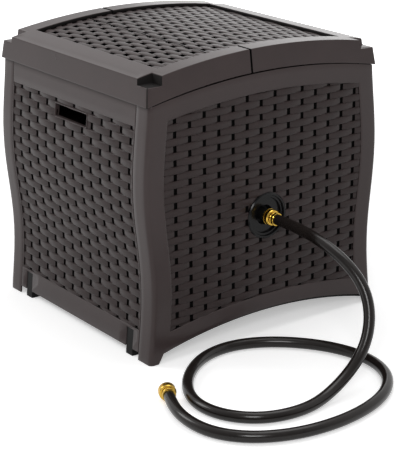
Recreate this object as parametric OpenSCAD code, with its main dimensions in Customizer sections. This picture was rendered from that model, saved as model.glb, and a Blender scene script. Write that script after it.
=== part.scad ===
// Hose reel in a wicker-pattern resin box, with a two-part lid and a leader hose.
// X runs from the crank side to the inlet side, -Y is the front, Z is up.
// The origin is on the floor under the middle of the box. All sizes are in millimetres.

/* [Box] */
// Width of the box over its two side panels
box_w = 524; // [500:1:580]
// Mean depth of the box, front to rear
box_d = 551; // [540:1:580]
// How far the front and rear swell and draw in about that mean
bow = 7; // [3:0.5:9]
// Height of one full swell of the front and rear
bow_pitch = 400; // [380:5:460]
// Height at which the box is narrowest
waist_z = 140; // [120:1:170]
// Height of the lid's lower edge at the front and rear
lid_z = 502; // [485:1:530]
// Thickness of the moulded walls
wall = 4; // [3:0.5:5]
// Radius of the upright corner edges
corner_r = 9; // [7:0.5:12]
// Width of a corner post on the front and rear
post_w = 42.5; // [36:0.5:50]
// Width of a corner post on the sides
side_post_w = 42; // [38:0.5:52]
// Depth of the wicker fields below the posts and rails
field_depth = 5; // [3:0.5:6]

/* [Side panels] */
// Radius of the arched upper edge, on which the lid sits
edge_r = 1320; // [1000:10:1400]
// Height of the smooth rail above the wicker
side_rail_h = 41; // [32:1:48]
// Height of the wicker's arched lower edge at the middle
side_field_z = 82; // [76:1:95]
// Radius of that arched lower edge
side_field_r = 1250; // [1100:10:1500]
// Height of the arch under the box at its middle
arch_z = 50.5; // [42:0.5:54]
// Height of the feet that the arch ends on
foot_h = 19; // [14:0.5:22]
// Length of a foot along the side
foot_len = 30; // [24:1:40]

/* [Front and rear panels] */
// Height of the lower edge above the floor
rail_z = 15; // [12:0.5:20]
// Height at which the wicker starts
front_field_z = 59; // [56:0.5:70]
// Height of the smooth rail above the wicker
front_rail_h = 44; // [36:1:50]
// Width of the hand slot
slot_w = 112; // [90:1:130]
// Height of the hand slot
slot_h = 24; // [20:1:32]
// Height of the hand slot's lower edge
slot_z = 423; // [400:1:435]
// Distance from a corner post to the notch beside it in the bottom rail
notch_side = 20; // [14:1:30]
// Width of a notch in the bottom rail
notch_w = 24; // [20:1:28]
// Height of the top of the notches
notch_top = 54; // [48:0.5:55]

/* [Base tray] */
// How far the tray's two curved lips hang below the arches of the side panels
tray_lip = 7; // [4:0.5:9]
// Thickness of those lips
tray_lip_t = 3.5; // [2.5:0.5:4]

/* [Lid] */
// Height of the lid at its middle
lid_h = 46; // [40:1:54]
// Radius of the arched top
lid_top_r = 1400; // [1100:10:1500]
// Slope of the lid's sides, inwards per unit of height
lid_draft = 0.13; // [0:0.01:0.16]
// Visible gap between the lid and the panels
lid_gap = 1.2; // [0.8:0.1:1.6]
// Width of the smooth border beside the lid's wicker field
lid_border = 54; // [50:1:70]
// Length of the wicker field in the lid, front to rear
lid_field_l = 440; // [400:1:446]
// Depth of the wicker field below the border
lid_field_depth = 9; // [6:0.5:10]
// Size of the square notches in the lid's corners
lid_notch = 33; // [26:1:36]
// Depth of those notches
lid_notch_h = 14; // [8:0.5:18]
// How far in front of the middle the two halves part at the border
lid_seam = 34; // [30:1:60]
// How far in front of the middle the two halves part in the wicker
lid_field_seam = 92; // [80:1:110]
// Radius of the rounded hinge edge
hinge_r = 7.2; // [6.8:0.1:9]
// Radius of the hinge pins
hinge_pin_r = 2; // [1.5:0.1:2.2]
// Length of a hinge pin
hinge_pin_l = 34; // [30:1:35]

/* [Wicker] */
// Distance between two columns of slots on the sides
side_col = 33.5; // [30:0.5:38]
// Height of a row of strips on the sides
side_row = 13.6; // [12:0.1:16]
// Distance between two columns of slots on the front and rear
front_col = 32.7; // [30:0.1:38]
// Height of a row of strips on the front and rear
front_row = 14.3; // [12:0.1:16]
// Distance between two columns of slots in the lid
lid_col = 32; // [30:0.5:38]
// Width of a row of strips in the lid
lid_row = 12.3; // [11:0.1:15]
// Width of the slots between the ends of the strips
slot_gap = 6.2; // [5:0.2:8]
// Width of the grooves between the rows
row_gap = 1.6; // [1:0.1:3]
// How far the strips rise out of a field
strip_h = 3.4; // [2:0.1:4]

/* [Reel] */
// Height of the reel's axis
reel_z = 244; // [236:1:256]
// Radius of the two reel flanges
reel_r = 170; // [150:1:175]
// Space between a side panel and the reel flange beside it
reel_gap = 67; // [64:1:80]
// Radius of the drum
drum_r = 60; // [56:1:75]
// Thickness of the drum's shell
drum_wall = 4; // [3:0.5:5]
// Thickness of the flange plates
plate_t = 4; // [3:0.5:5]
// Radius of the bearing journals
journal_r = 30; // [27:0.5:33]
// Thickness of the bushes
bush_t = 4; // [3:0.5:5]
// Width of a flange's rim and depth of its ribs at the rim
rim_w = 12; // [8:0.5:14]
// Distance of the garden hose outlet from the flange beside it
outlet_in = 36; // [32:1:60]

/* [Inlet and crank flanges] */
// Radius of the dish's rim
dish_r = 46; // [44:0.5:54]
// How far the rim stands out from the wicker field's base
dish_h = 7; // [5:0.5:9]
// Depth of the dish's floor below the wicker field's base
dish_sink = 2; // [1:0.5:3]
// Width of the dish's raised lip, and of the step inside it
dish_lip = 5; // [3:0.5:6]
// Height of the lip above that step
dish_step = 4; // [2:0.5:5]
// Radius of the recess round the coupling nut
nut_recess_r = 19; // [18:0.5:21]
// Radius of the water tube and of the crank shaft
tube_r = 13; // [12.5:0.1:13.2]
// Length of a bearing journal, from the side panel inwards
journal_l = 47; // [44:1:50]
// Length of the hose thread on the water tube
tube_thread_l = 18; // [14:1:20]
// Length of the tube's nose inside the water hub
nose_l = 32; // [28:1:34]
// Bore radius of the whole waterway
water_r = 7.5; // [6:0.1:8]

/* [Leader hose] */
// Outer diameter of the hose
hose_d = 21.5; // [20:0.1:22]
// Outer radius of the 3/4 in hose thread
thread_r = 13.3; // [13.2:0.05:13.4]
// Outer radius of a coupling nut
nut_r = 16.3; // [16:0.1:16.5]
// Length of a coupling nut
nut_len = 14.1; // [13.5:0.1:16]
// Length of the brass ferrule on the hose
ferrule_len = 11.5; // [10:0.5:16]

/* [Crank] */
// Distance from the reel's axis to the knob's axis
crank_l = 125; // [100:1:150]
// Thickness of the crank arm
arm_t = 14; // [10:0.5:18]
// Radius of the crank arm's boss on the shaft
arm_boss_r = 24; // [21:0.5:28]
// Radius of the crank arm's boss for the knob
arm_end_r = 15; // [12:0.5:18]
// Length of the knob
knob_l = 88; // [70:1:100]
// Largest radius of the knob
knob_r = 15; // [13:0.5:18]
// Radius of the knob's pin
knob_pin_r = 5; // [4:0.5:6]

/* [Hidden] */

// Clearances
fit_gap = 0.3;      // between pieces that move past each other
run_gap = 0.08;     // in the running fits of shafts and bushes
seam_gap = 0.5;     // between the moulded panels
screw_gap = 0.05;   // round a screw in its pilot hole
cut = 1;            // how far a cutter runs past what it cuts

// Colours
resin = [0.33, 0.31, 0.30];
black = [0.06, 0.06, 0.06];
brass = [0.80, 0.62, 0.26];
steel = [0.75, 0.76, 0.78];
acetal = [0.85, 0.85, 0.82];

// Facets of curved edges and of the swept hose
curve_fn = 96;
arc_fn = 360;
hose_sides = 12;

half_w = box_w / 2;
plate_x = half_w - field_depth;       // outer face of a side panel's wicker plate
inner_x = plate_x - wall;             // inner face of that plate
post_x = half_w - post_w;             // where the posts end on the front and rear
notch_x = post_x - notch_side - notch_w / 2;        // middle of a notch in the bottom rail
lid_field_w = box_w - 2 * lid_border;
side_top = lid_z + rise(edge_r, lid_seat_y());
lid_top = side_top + lid_h;           // height of the lid's crown
s_step = 20;                          // spacing of the points on a bowed edge

// Height by which an arc of radius r drops from its crown to the distance y.
function rise(r, y) = r - sqrt(r * r - y * y);
function lid_seat_y() = box_d / 2;
// Half the depth of the box at the height z.
function half_d(z) = box_d / 2 - bow * cos(360 * (z - waist_z) / bow_pitch);
function lid_top_z(y) = lid_top - rise(lid_top_r, y);

// Extrudes a drawing of the YZ plane along X from x0 to x1.
module along_x(x0, x1) {
    translate([x0, 0, 0]) rotate([90, 0, 90]) linear_extrude(x1 - x0) children();
}
// Extrudes a drawing of the XZ plane along Y from y0 to y1.
module along_y(y0, y1) {
    translate([0, y1, 0]) rotate([90, 0, 0]) linear_extrude(y1 - y0) children();
}
module rod_x(r, x0, x1) {
    translate([x0, 0, 0]) rotate([0, 90, 0]) cylinder(r = r, h = x1 - x0, $fn = curve_fn);
}
module rod_y(r, y0, y1) {
    translate([0, y1, 0]) rotate([90, 0, 0]) cylinder(r = r, h = y1 - y0, $fn = curve_fn);
}
module rod_z(r, z0, z1) {
    translate([0, 0, z0]) cylinder(r = r, h = z1 - z0, $fn = curve_fn);
}
// A box from its lowest to its highest corner.
module block(low, high) {
    translate(low) cube(high - low);
}
// A countersink-free screw along +Z: the head from -head_h to 0, the shank from 0 to length.
screw_head_r = 4;
screw_head_h = 3;
screw_r = 2;
module screw(length) {
    union() {
        rod_z(screw_head_r, -screw_head_h, 0);
        rod_z(screw_r, -screw_head_h / 2, length);
    }
}
// Joins rings of points, all with the same count, into one closed solid.
module loft(rings) {
    n = len(rings[0]);
    m = len(rings);
    sides = [for (i = [0:m - 2], j = [0:n - 1], t = [0, 1])
        let (a = i * n + j, b = i * n + (j + 1) % n)
        t == 0 ? [b, a, b + n] : [b + n, a, a + n]];
    top = (m - 1) * n;
    ends = [for (j = [2:n - 1], e = [0, 1]) let (k = (j + 1) % n)
        e == 0 ? [1, j, k] : [top + 1, top + k, top + j]];
    polyhedron([for (r = rings) for (p = r) p], concat(sides, ends));
}

// Panels

// The bowed outline of the box in the YZ plane, drawn in by inset, from z0 to z1.
module bowed(inset, z0, z1) {
    zs = concat([for (z = [z0:s_step:z1 - 1]) z], [z1]);
    last = len(zs) - 1;
    polygon(concat([for (z = zs) [half_d(z) - inset, z]],
        [for (i = [last:-1:0]) [inset - half_d(zs[i]), zs[i]]]));
}
// Everything below the arc with its crown at the height z.
module under_arc(r, z) {
    translate([0, z - r]) circle(r = r, $fn = arc_fn);
}
arch_half = half_d(0) - foot_len;                                // half the span of the arch
arch_r = (pow(arch_half, 2) + pow(arch_z - foot_h, 2)) / (2 * (arch_z - foot_h));
// The outline of a side panel, with its arched edge at the top and the arch under it.
module side_outline() {
    difference() {
        intersection() {
            bowed(0, 0, side_top);
            under_arc(edge_r, side_top - lid_gap);
        }
        intersection() {
            under_arc(arch_r, arch_z);
            translate([-arch_half, -cut]) square([2 * arch_half, arch_z + cut]);
        }
    }
}
// The outline of a side panel's wicker field, grown by a margin.
module side_field(margin) {
    difference() {
        intersection() {
            bowed(side_post_w - margin, side_field_z / 2, side_top);
            under_arc(edge_r, side_top - side_rail_h + margin);
        }
        under_arc(side_field_r, side_field_z - margin);
    }
}
// A row of wicker strips, drawn flat: u along the row and h out of the field. Each strip passes over
// one column and ends beside the slots of the next two; slot is the place of one of those slots.
module strip_row(col, slot, reach) {
    n = ceil(reach / (2 * col));
    half = col - slot_gap / 2;
    sink = wall / 2;
    polygon(concat([[-2 * (n + 1) * col + slot, -sink]],
        [for (i = [-n - 1:n]) let (middle = slot + col + 2 * col * i)
            for (p = [[-1, 0], [-1, 0.4], [-0.4, 1], [0.4, 1], [1, 0.4], [1, 0]])
                [middle + p[0] * half, p[1] * strip_h]],
        [[2 * (n + 1) * col + slot, -sink]]));
}
side_shift = -12.5;                     // column of slots nearest the middle of a side
side_rows = [floor((side_field_z - rise(side_field_r, box_d / 2)) / side_row):
    floor((side_top - side_rail_h) / side_row)];
// The wicker of a side panel, which leaves room for the dish.
module side_weave() {
    difference() {
        intersection() {
            along_x(inner_x + cut, half_w) side_field(cut);
            for (j = side_rows)
                translate([plate_x, 0, j * side_row + row_gap / 2])
                    linear_extrude(side_row - row_gap) rotate(90) mirror([0, 1])
                        strip_row(side_col, side_shift + (j % 2) * side_col, box_d / 2);
        }
        translate([0, 0, reel_z]) rod_x(dish_r + fit_gap, inner_x, half_w + cut);
    }
}
// What the rounding takes off one upright corner edge.
module corner_cutter() {
    steps = 6;
    far = corner_r + cut;
    loft([for (z = [-s_step:s_step:side_top + s_step])
        let (cy = corner_r - half_d(z), cx = half_w - corner_r)
        concat([[cx, cy - far, z], [cx + far, cy - far, z], [cx + far, cy, z]],
            [for (i = [0:steps]) let (a = 90 * i / steps)
                [cx + corner_r * cos(a), cy - corner_r * sin(a), z]])]);
}
// A shelf inside a side panel, with a pilot hole for a screw from below.
ledge_x = half_w - 26;
ledge_half = 12;
module ledge(y, z0, z1) {
    difference() {
        block([ledge_x - ledge_half, y - ledge_half, z0], [half_w - cut, y + ledge_half, z1]);
        translate([ledge_x, y, 0]) rod_z(screw_r + screw_gap, z0 - cut, z1 + cut);
    }
}
base_z = arch_z + 1.5;                  // underside of the tray's floor
tray_t = wall;                          // thickness of the tray's floor
ledge_t = 6;
lid_ledge_z = side_top - lid_gap - side_rail_h - ledge_t - 4;
base_screw_y = 120;
lid_screw_y = [20, box_d / 2 - 50];
panel_screw_z = [80, 200, 320, 440];
post_screw_x = post_x + 10;
panel_hole_r = dish_r - 6;              // hole in a side panel for a flange's cup

module side_shell() {
    difference() {
        along_x(post_x, half_w) side_outline();
        corner_cutter();
        mirror([0, 1, 0]) corner_cutter();
        difference() {
            union() {
                along_x(post_x - cut, half_w - corner_r) bowed(wall, wall, side_top + cut);
                along_x(post_x - cut, half_w - wall) bowed(corner_r, wall, side_top + cut);
            }
            along_x(inner_x, half_w) side_field(wall);
        }
    }
}
module side_panel() {
    difference() {
        union() {
            difference() {
                union() {
                    side_shell();
                    for (s = [-1, 1])
                        ledge(s * base_screw_y, base_z + tray_t, base_z + tray_t + ledge_t);
                    for (y = lid_screw_y) ledge(y, lid_ledge_z, lid_ledge_z + ledge_t);
                }
                along_x(plate_x, half_w + cut) side_field(0);
            }
            side_weave();
        }
        translate([0, 0, reel_z]) rod_x(panel_hole_r, inner_x - 2 * wall, half_w);
        for (s = [-1, 1], z = panel_screw_z)
            translate([post_screw_x, s * (half_d(z) - wall), z])
                rotate([s * 90, 0, 0]) rod_z(screw_r + screw_gap, -3, wall + cut);
    }
}
module right_side_panel() { color(resin) side_panel(); }
module left_side_panel() { color(resin) mirror([1, 0, 0]) side_panel(); }

// A slab that follows the bowed front between two insets.
module bowed_slab(x, inset, thick, z0, z1) {
    along_x(-x, x) intersection() {
        difference() {
            bowed(inset, z0, z1);
            bowed(inset + thick, z0 - cut, z1 + cut);
        }
        translate([-box_d, 0]) square([box_d, 2 * lid_z]);
    }
}
front_top = lid_z - lid_gap;
front_field_top = lid_z - front_rail_h;
front_x = post_x - seam_gap;
flange_w = 18;                          // how far the panel reaches behind a post
flange_inset = wall + fit_gap;          // its depth behind the post's outer face
pad_half = 12;                          // half the length of a lid rest on the panel's edge
// The front panel, without its slot.
module end_panel() {
    difference() {
        union() {
            difference() {
                bowed_slab(front_x, 0, wall + field_depth, rail_z, front_top);
                bowed_slab(front_x - wall, wall, wall + field_depth, 0, front_field_z - wall);
                bowed_slab(front_x - wall, wall, wall + field_depth, front_field_top + wall,
                    lid_z);
            }
            difference() {
                bowed_slab(front_x + flange_w, flange_inset, wall, rail_z, front_top);
                bowed_slab(front_x - wall, 0, 3 * wall, 0, lid_z);
            }
        }
        bowed_slab(front_x - wall, -cut, field_depth + cut, front_field_z, front_field_top);
        bowed_slab(front_x - wall, wall + field_depth, wall + cut, front_field_z,
            front_field_top);
        for (s = [-1, 1]) {
            translate([s * notch_x - notch_w / 2, -box_d, rail_z - cut])
                cube([notch_w, box_d, notch_top - rail_z + cut]);
            for (z = panel_screw_z)
                translate([s * post_screw_x, wall + flange_inset - half_d(z), z])
                    rotate([90, 0, 0]) {
                        rod_z(screw_head_r + fit_gap, -2 * wall, 1);
                        rod_z(screw_r + fit_gap, 0, 2 * wall);
                    }
        }
    }
}
front_shift = 6.2;                      // column of slots nearest the middle of the front
front_row_shift = -0.6;
front_rows = [floor(front_field_z / front_row):floor(front_field_top / front_row)];
// The slope of the front: how fast its distance from the middle grows with height.
function tilt(z) = atan(bow * 2 * PI / bow_pitch * sin(360 * (z - waist_z) / bow_pitch));
module end_weave() {
    intersection() {
        block([wall - front_x, -box_d, front_field_z - cut], [front_x - wall, 0, front_field_top + cut]);
        for (j = front_rows) let (z = j * front_row + front_row_shift)
            translate([0, field_depth - half_d(z), z]) rotate([tilt(z), 0, 0])
                translate([0, 0, (row_gap - front_row) / 2]) linear_extrude(front_row - row_gap)
                    mirror([0, 1]) strip_row(front_col, front_shift + (j % 2) * front_col, box_w / 2);
    }
}
module front_panel() {
    color(resin) union() {
        difference() {
            union() {
                end_panel();
                end_weave();
            }
            translate([-slot_w / 2, -box_d, slot_z]) cube([slot_w, box_d, slot_h]);
        }
        for (s = [-1, 1])
            block([s * box_w / 4 - pad_half, wall / 2 - half_d(front_top), front_top - cut],
                [s * box_w / 4 + pad_half, wall - half_d(front_top), lid_z - fit_gap]);
    }
}
module rear_panel() {
    color(resin) mirror([0, 1, 0]) union() {
        end_panel();
        end_weave();
    }
}

// Base tray

leg_w = notch_w - 2;
leg_d = 24;
tray_y = min(half_d(base_z), half_d(base_z + 2 * tray_t)) - wall - field_depth - 1;
leg_y = tray_y - leg_d;                 // inner side of a leg
toe_y = half_d(notch_top) - cut;        // outer side of a leg, in its notch
tray_x = inner_x - 1;
tray_rim = 10;
module base_tray() {
    color(black) difference() {
        union() {
            block([-tray_x, -tray_y, base_z], [tray_x, tray_y, base_z + tray_t]);
            difference() {
                block([-post_x + wall, -tray_y, base_z], [post_x - wall, tray_y, base_z + tray_rim]);
                block([-post_x + 2 * wall, wall - tray_y, base_z - cut],
                    [post_x - 2 * wall, tray_y - wall, base_z + tray_rim + cut]);
            }
            for (sx = [-1, 1], sy = [0, 1])
                mirror([0, sy, 0]) translate([sx * notch_x, 0, 0]) {
                    block([-leg_w / 2, leg_y, 0], [leg_w / 2, tray_y, base_z + tray_t]);
                    block([-leg_w / 2, leg_y, 0], [leg_w / 2, toe_y, notch_top - seam_gap]);
                }
            for (s = [0, 1]) mirror([s, 0, 0]) along_x(tray_x - tray_lip_t, tray_x)
                difference() {
                    translate([-tray_y, 0]) square([2 * tray_y, base_z + tray_t]);
                    under_arc(arch_r, arch_z - tray_lip);
                }
        }
        for (sx = [-1, 1], sy = [-1, 1])
            translate([sx * ledge_x, sy * base_screw_y, 0])
                rod_z(screw_r + fit_gap, base_z - cut, base_z + tray_t + cut);
    }
}

// Lid

lip_t = 2.2;                            // thickness of the lip that covers the hinge
lip_r = hinge_r + 0.5;                  // outer radius of that lip
hinge_y = -lid_seam - lip_r - cut;
hinge_z = lid_top_z(hinge_y) - hinge_r - fit_gap;
lid_half_x = half_w - 0.5;
lid_half_y = lid_seat_y();
// Half-widths of the lid at the height z, drawn in by inset.
function lid_reach(half, z, inset) = half - lid_draft * (z - lid_z) - inset;
// A drafted block with the lid's outer shape, drawn in by inset, its top lowered by drop.
module lid_block(inset, drop, low, arched) {
    high = lid_top + cut;
    intersection() {
        along_x(-half_w, half_w) difference() {
            intersection() {
                polygon([for (p = [[-1, low], [1, low], [1, high], [-1, high]])
                    [p[0] * lid_reach(lid_half_y, p[1], inset), p[1]]]);
                under_arc(lid_top_r - drop, lid_top - drop);
            }
            if (arched) under_arc(edge_r, side_top);
        }
        along_y(-box_d, box_d)
            polygon([for (p = [[-1, low], [1, low], [1, high], [-1, high]])
                [p[0] * lid_reach(lid_half_x, p[1], inset), p[1]]]);
    }
}
// A column in each corner of the lid, from the height z upwards, of the notch's size.
notch_z = lid_top_z(lid_half_y - lid_notch / 2) - lid_notch_h;
module lid_corners(size, z) {
    for (sx = [-1, 1], sy = [-1, 1])
        translate([sx * (lid_half_x - size), sy * (lid_half_y - size), z])
            block([sx < 0 ? -size : 0, sy < 0 ? -size : 0, 0],
                [sx < 0 ? 0 : size, sy < 0 ? 0 : size, lid_h]);
}
// What lies above the lid's wicker field, grown by a margin.
module above_field(margin) {
    difference() {
        block([-lid_field_w / 2 - margin, -lid_field_l / 2 - margin, lid_z],
            [lid_field_w / 2 + margin, lid_field_l / 2 + margin, lid_top + cut]);
        along_x(-half_w, half_w)
            under_arc(lid_top_r - lid_field_depth - margin, lid_top - lid_field_depth - margin);
    }
}
lid_shift = -21.8;                      // a column of slots in the lid
lid_row_shift = 4.3;
lid_rows = [-floor(lid_field_l / 2 / lid_row) - 1:floor(lid_field_l / 2 / lid_row)];
module lid_weave() {
    intersection() {
        block([-lid_field_w / 2 - cut, -lid_field_l / 2 - cut, lid_z],
            [lid_field_w / 2 + cut, lid_field_l / 2 + cut, lid_top]);
        for (j = lid_rows)
            translate([0, 0, lid_top - lid_top_r])
                rotate([-asin((j * lid_row + lid_row_shift) / lid_top_r), 0, 0])
                    translate([0, (lid_row - row_gap) / 2, lid_top_r - lid_field_depth])
                        rotate([90, 0, 0]) linear_extrude(lid_row - row_gap)
                            strip_row(lid_col, lid_shift + ((j + 1) % 2) * lid_col, lid_field_w / 2);
    }
}
module lid_shell() {
    lid_weave();
    difference() {
        lid_block(0, 0, lid_z, true);
        above_field(0);
        lid_corners(lid_notch + 2 * cut, notch_z);
        difference() {
            lid_block(wall, wall, lid_z - 2 * wall, false);
            above_field(wall);
            lid_corners(lid_notch + 2 * cut + wall, notch_z - wall);
        }
    }
}
// The part of the lid in front of the seam, which steps forward in the wicker field.
tongue_half = lid_field_w / 2 - 1;
module lid_split(y_border, y_field, tongue) {
    difference() {
        block([-box_w, -box_d, lid_z - 2 * wall], [box_w, y_border, lid_top + 2 * cut]);
        block([-tongue, y_field, 0], [tongue, y_border + cut, lid_top + 3 * cut]);
    }
}
module at_hinge() { translate([0, hinge_y, hinge_z]) children(); }
pin_x0 = lid_field_w / 2 + wall + cut;
lug_x0 = pin_x0 + 10;
lug_w = 14;
lug_r = hinge_r - 2.8;
// The hinge on the inlet side; the other side is its mirror image.
module lid_knuckles() {
    at_hinge() rod_x(hinge_r, pin_x0 - 3, lug_x0 - fit_gap);
    at_hinge() rod_x(hinge_r, lug_x0 + lug_w + fit_gap, pin_x0 + hinge_pin_l + 2);
}
module rear_lug() {
    neck = 3.6;
    under = hinge_r + 3;
    at_hinge() along_x(lug_x0, lug_x0 + lug_w) union() {
        circle(r = lug_r, $fn = curve_fn);
        rotate(-135) translate([0, -neck / 2]) square([under * 1.3, neck]);
        translate([-under, -under - neck]) square([2 * neck, neck + 3]);
        translate([-under, -under - neck]) square([under + hinge_r + 12, neck]);
        translate([hinge_r + 6, -under - neck]) square([neck, under + neck + hinge_r]);
    }
}
lid_boss_r = 7;
module rear_lid() {
    color(resin) difference() {
        union() {
            difference() {
                lid_shell();
                lid_split(-lid_seam + cut, -lid_field_seam + cut, tongue_half);
            }
            intersection() {
                union() {
                    for (s = [0, 1]) mirror([s, 0, 0]) {
                        rear_lug();
                        for (y = lid_screw_y)
                            translate([ledge_x - 2, y, 0])
                                rod_z(lid_boss_r, lid_ledge_z + ledge_t, lid_top);
                    }
                }
                lid_block(wall / 2, wall / 2, lid_ledge_z, false);
            }
        }
        for (s = [0, 1]) mirror([s, 0, 0]) {
            at_hinge() rod_x(hinge_pin_r + run_gap, lug_x0 - cut, lug_x0 + lug_w + cut);
            for (y = lid_screw_y)
                translate([ledge_x, y, 0])
                    rod_z(screw_r + screw_gap, lid_ledge_z, lid_ledge_z + ledge_t + 14);
        }
    }
}
module front_lid() {
    color(resin) difference() {
        union() {
            intersection() {
                lid_shell();
                lid_split(-lid_seam - cut, -lid_field_seam, lid_field_w / 2);
            }
            for (s = [0, 1]) mirror([s, 0, 0]) lid_knuckles();
        }
        for (s = [0, 1]) mirror([s, 0, 0]) {
            at_hinge() along_x(pin_x0 - 30, half_w) difference() {
                square([2 * lip_r, 2 * lip_r]);
                circle(r = lip_r, $fn = curve_fn);
            }
            at_hinge() rod_x(lip_r - lip_t, lug_x0 - fit_gap, lug_x0 + lug_w + fit_gap);
            at_hinge() rod_x(hinge_pin_r + screw_gap, pin_x0, pin_x0 + hinge_pin_l);
        }
    }
}
module hinge_pins() {
    color(steel) for (s = [0, 1]) mirror([s, 0, 0])
        at_hinge() rod_x(hinge_pin_r, pin_x0 + fit_gap, pin_x0 + hinge_pin_l - fit_gap);
}

// Fasteners of the box

module panel_screws() {
    color(steel) for (sx = [-1, 1], sy = [-1, 1], z = panel_screw_z)
        translate([sx * post_screw_x, sy * (half_d(z) - flange_inset - wall), z])
            rotate([-sy * 90, 0, 0]) screw(wall + fit_gap + 2.5);
}
module base_screws() {
    color(steel) for (sx = [-1, 1], sy = [-1, 1])
        translate([sx * ledge_x, sy * base_screw_y, base_z]) screw(tray_t + ledge_t - 1);
}
module lid_screws() {
    color(steel) for (sx = [-1, 1], y = lid_screw_y)
        translate([sx * ledge_x, y, lid_ledge_z]) screw(ledge_t + 12);
}

// Inlet and crank flanges: both are the same moulding

cup_r = panel_hole_r - fit_gap;
cup_x = plate_x - dish_sink - wall;      // back of the dish's floor
journal_x = inner_x - journal_l;                // inner end of the journal
shoulder_x = cup_x - 13;                 // seat of the tube's shoulder
bore_r = tube_r + run_gap;
module dish_flange() {
    floor_x = plate_x - dish_sink;
    rotate([0, 90, 0]) rotate_extrude($fn = curve_fn) polygon([
        [bore_r, journal_x], [journal_r, journal_x], [journal_r, cup_x], [cup_r, cup_x],
        [cup_r, plate_x], [dish_r, plate_x], [dish_r, plate_x + dish_h - 2],
        [dish_r - 2, plate_x + dish_h], [dish_r - dish_lip, plate_x + dish_h],
        [dish_r - dish_lip - 1, plate_x + dish_h - dish_step],
        [dish_r - 2 * dish_lip, plate_x + dish_h - dish_step],
        [dish_r - 2 * dish_lip - 1, floor_x], [nut_recess_r + 1, floor_x], [nut_recess_r, floor_x - 1],
        [nut_recess_r, shoulder_x], [bore_r, shoulder_x]]);
}
module inlet_flange() { color(black) translate([0, 0, reel_z]) dish_flange(); }
module crank_flange() { color(black) mirror([1, 0, 0]) translate([0, 0, reel_z]) dish_flange(); }
ring_r = panel_hole_r + 12;
module lock_ring() {
    difference() {
        rotate([0, 90, 0]) rotate_extrude($fn = curve_fn) polygon([
            [journal_r + screw_gap, cup_x - 8], [ring_r - 3, cup_x - 8], [ring_r, cup_x - 5],
            [ring_r, inner_x], [panel_hole_r + 1, inner_x], [panel_hole_r + 1, cup_x - fit_gap],
            [journal_r + screw_gap, cup_x - fit_gap]]);
        for (a = [0:45:315]) rotate([a, 0, 0])
            block([cup_x - 9, -2, ring_r - 2], [inner_x + cut, 2, ring_r + cut]);
    }
}
module inlet_lock_ring() { color(black) translate([0, 0, reel_z]) lock_ring(); }
module crank_lock_ring() { color(black) mirror([1, 0, 0]) translate([0, 0, reel_z]) lock_ring(); }

// Water tube: the thread for the leader hose outside, the seals inside

nut_back = 2.4;                           // thickness of a nut's inner wall
tail_flange = 2;
washer_t = 2.8;
hose_x = plate_x + 37;                    // where the hose starts
seat = ferrule_len + 0.4 + nut_back + fit_gap + tail_flange + washer_t;
tube_end_x = hose_x - seat;               // end of the tube, on the nut's washer
nose_r = tube_r - 2;
nose_x = journal_x - nose_l;                  // inner end of the tube
clip_x = journal_x - 3;
clip_t = 1.6;
groove = 1.6;                             // depth of the O-ring grooves
ring_x = [nose_x + 6, nose_x + 13];
module inlet_tube() {
    color(black) translate([0, 0, reel_z]) difference() {
        union() {
            rod_x(thread_r, tube_end_x - tube_thread_l, tube_end_x);
            rod_x(tube_r, journal_x - 6, tube_end_x - 10);
            rod_x(nut_recess_r - 1, shoulder_x, shoulder_x + 5);
            rod_x(nose_r, nose_x, journal_x - 5);
        }
        rod_x(water_r, nose_x - cut, tube_end_x + cut);
        difference() {
            rod_x(tube_r + cut, clip_x, clip_x + clip_t + 2 * screw_gap);
            rod_x(tube_r - 1.5, clip_x - cut, clip_x + clip_t + cut);
        }
        for (x = ring_x) difference() {
            rod_x(nose_r + cut, x, x + 2 * groove);
            rod_x(nose_r - groove, x - cut, x + 2 * groove + cut);
        }
    }
}
module inlet_clip() {
    color(steel) translate([0, 0, reel_z]) difference() {
        rod_x(tube_r + 4, clip_x + screw_gap, clip_x + screw_gap + clip_t);
        rod_x(tube_r - 1.5 + screw_gap, clip_x - cut, clip_x + clip_t + cut);
        block([clip_x - cut, -tube_r + 3, -2 * tube_r], [clip_x + clip_t + cut, tube_r - 3, 0]);
    }
}
module inlet_o_rings() {
    color(black) translate([0, 0, reel_z]) rotate([0, 90, 0])
        for (x = ring_x) translate([0, 0, x + groove])
            rotate_extrude($fn = curve_fn) translate([nose_r - groove / 2 + screw_gap, 0])
                circle(r = groove / 2, $fn = 24);
}

// Reel

flange_x = inner_x - reel_gap;            // inner face of a flange plate
collar_r = journal_r + run_gap + bush_t;  // bore of a flange's collar
collar_x = inner_x - 17;                  // outer end of a collar
hub_r = 21;                               // hole in a flange plate
rib_count = 8;
rib_reach = 2 * rim_w;                    // depth of the ribs at the collar
reel_screw_r = drum_r - drum_wall - 5.5;
reel_screw_a = [35, 145, 215, 325];
screw_boss_r = 6.2;
screw_boss_l = 22;
hub_screw_r = 27;
module flange_disc() {
    difference() {
        union() {
            rod_x(reel_r, flange_x, flange_x + plate_t);
            difference() {
                rod_x(reel_r, flange_x, flange_x + rim_w);
                rod_x(reel_r - 4, flange_x - cut, flange_x + rim_w + cut);
            }
            rod_x(collar_r + 5, flange_x, collar_x);
            for (i = [0:rib_count - 1]) rotate([i * 360 / rib_count, 0, 0])
                along_y(-1.75, 1.75) polygon([
                    [flange_x + 1, collar_r + 3], [flange_x + 1, reel_r - 2],
                    [flange_x + rim_w - 2, reel_r - 2], [flange_x + rib_reach, collar_r + 3]]);
        }
        rod_x(collar_r, flange_x + plate_t, collar_x + cut);
        for (a = reel_screw_a) rotate([a, 0, 0]) translate([0, 0, reel_screw_r])
            rod_x(screw_r + fit_gap, flange_x - cut, flange_x + plate_t + cut);
    }
}
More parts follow.
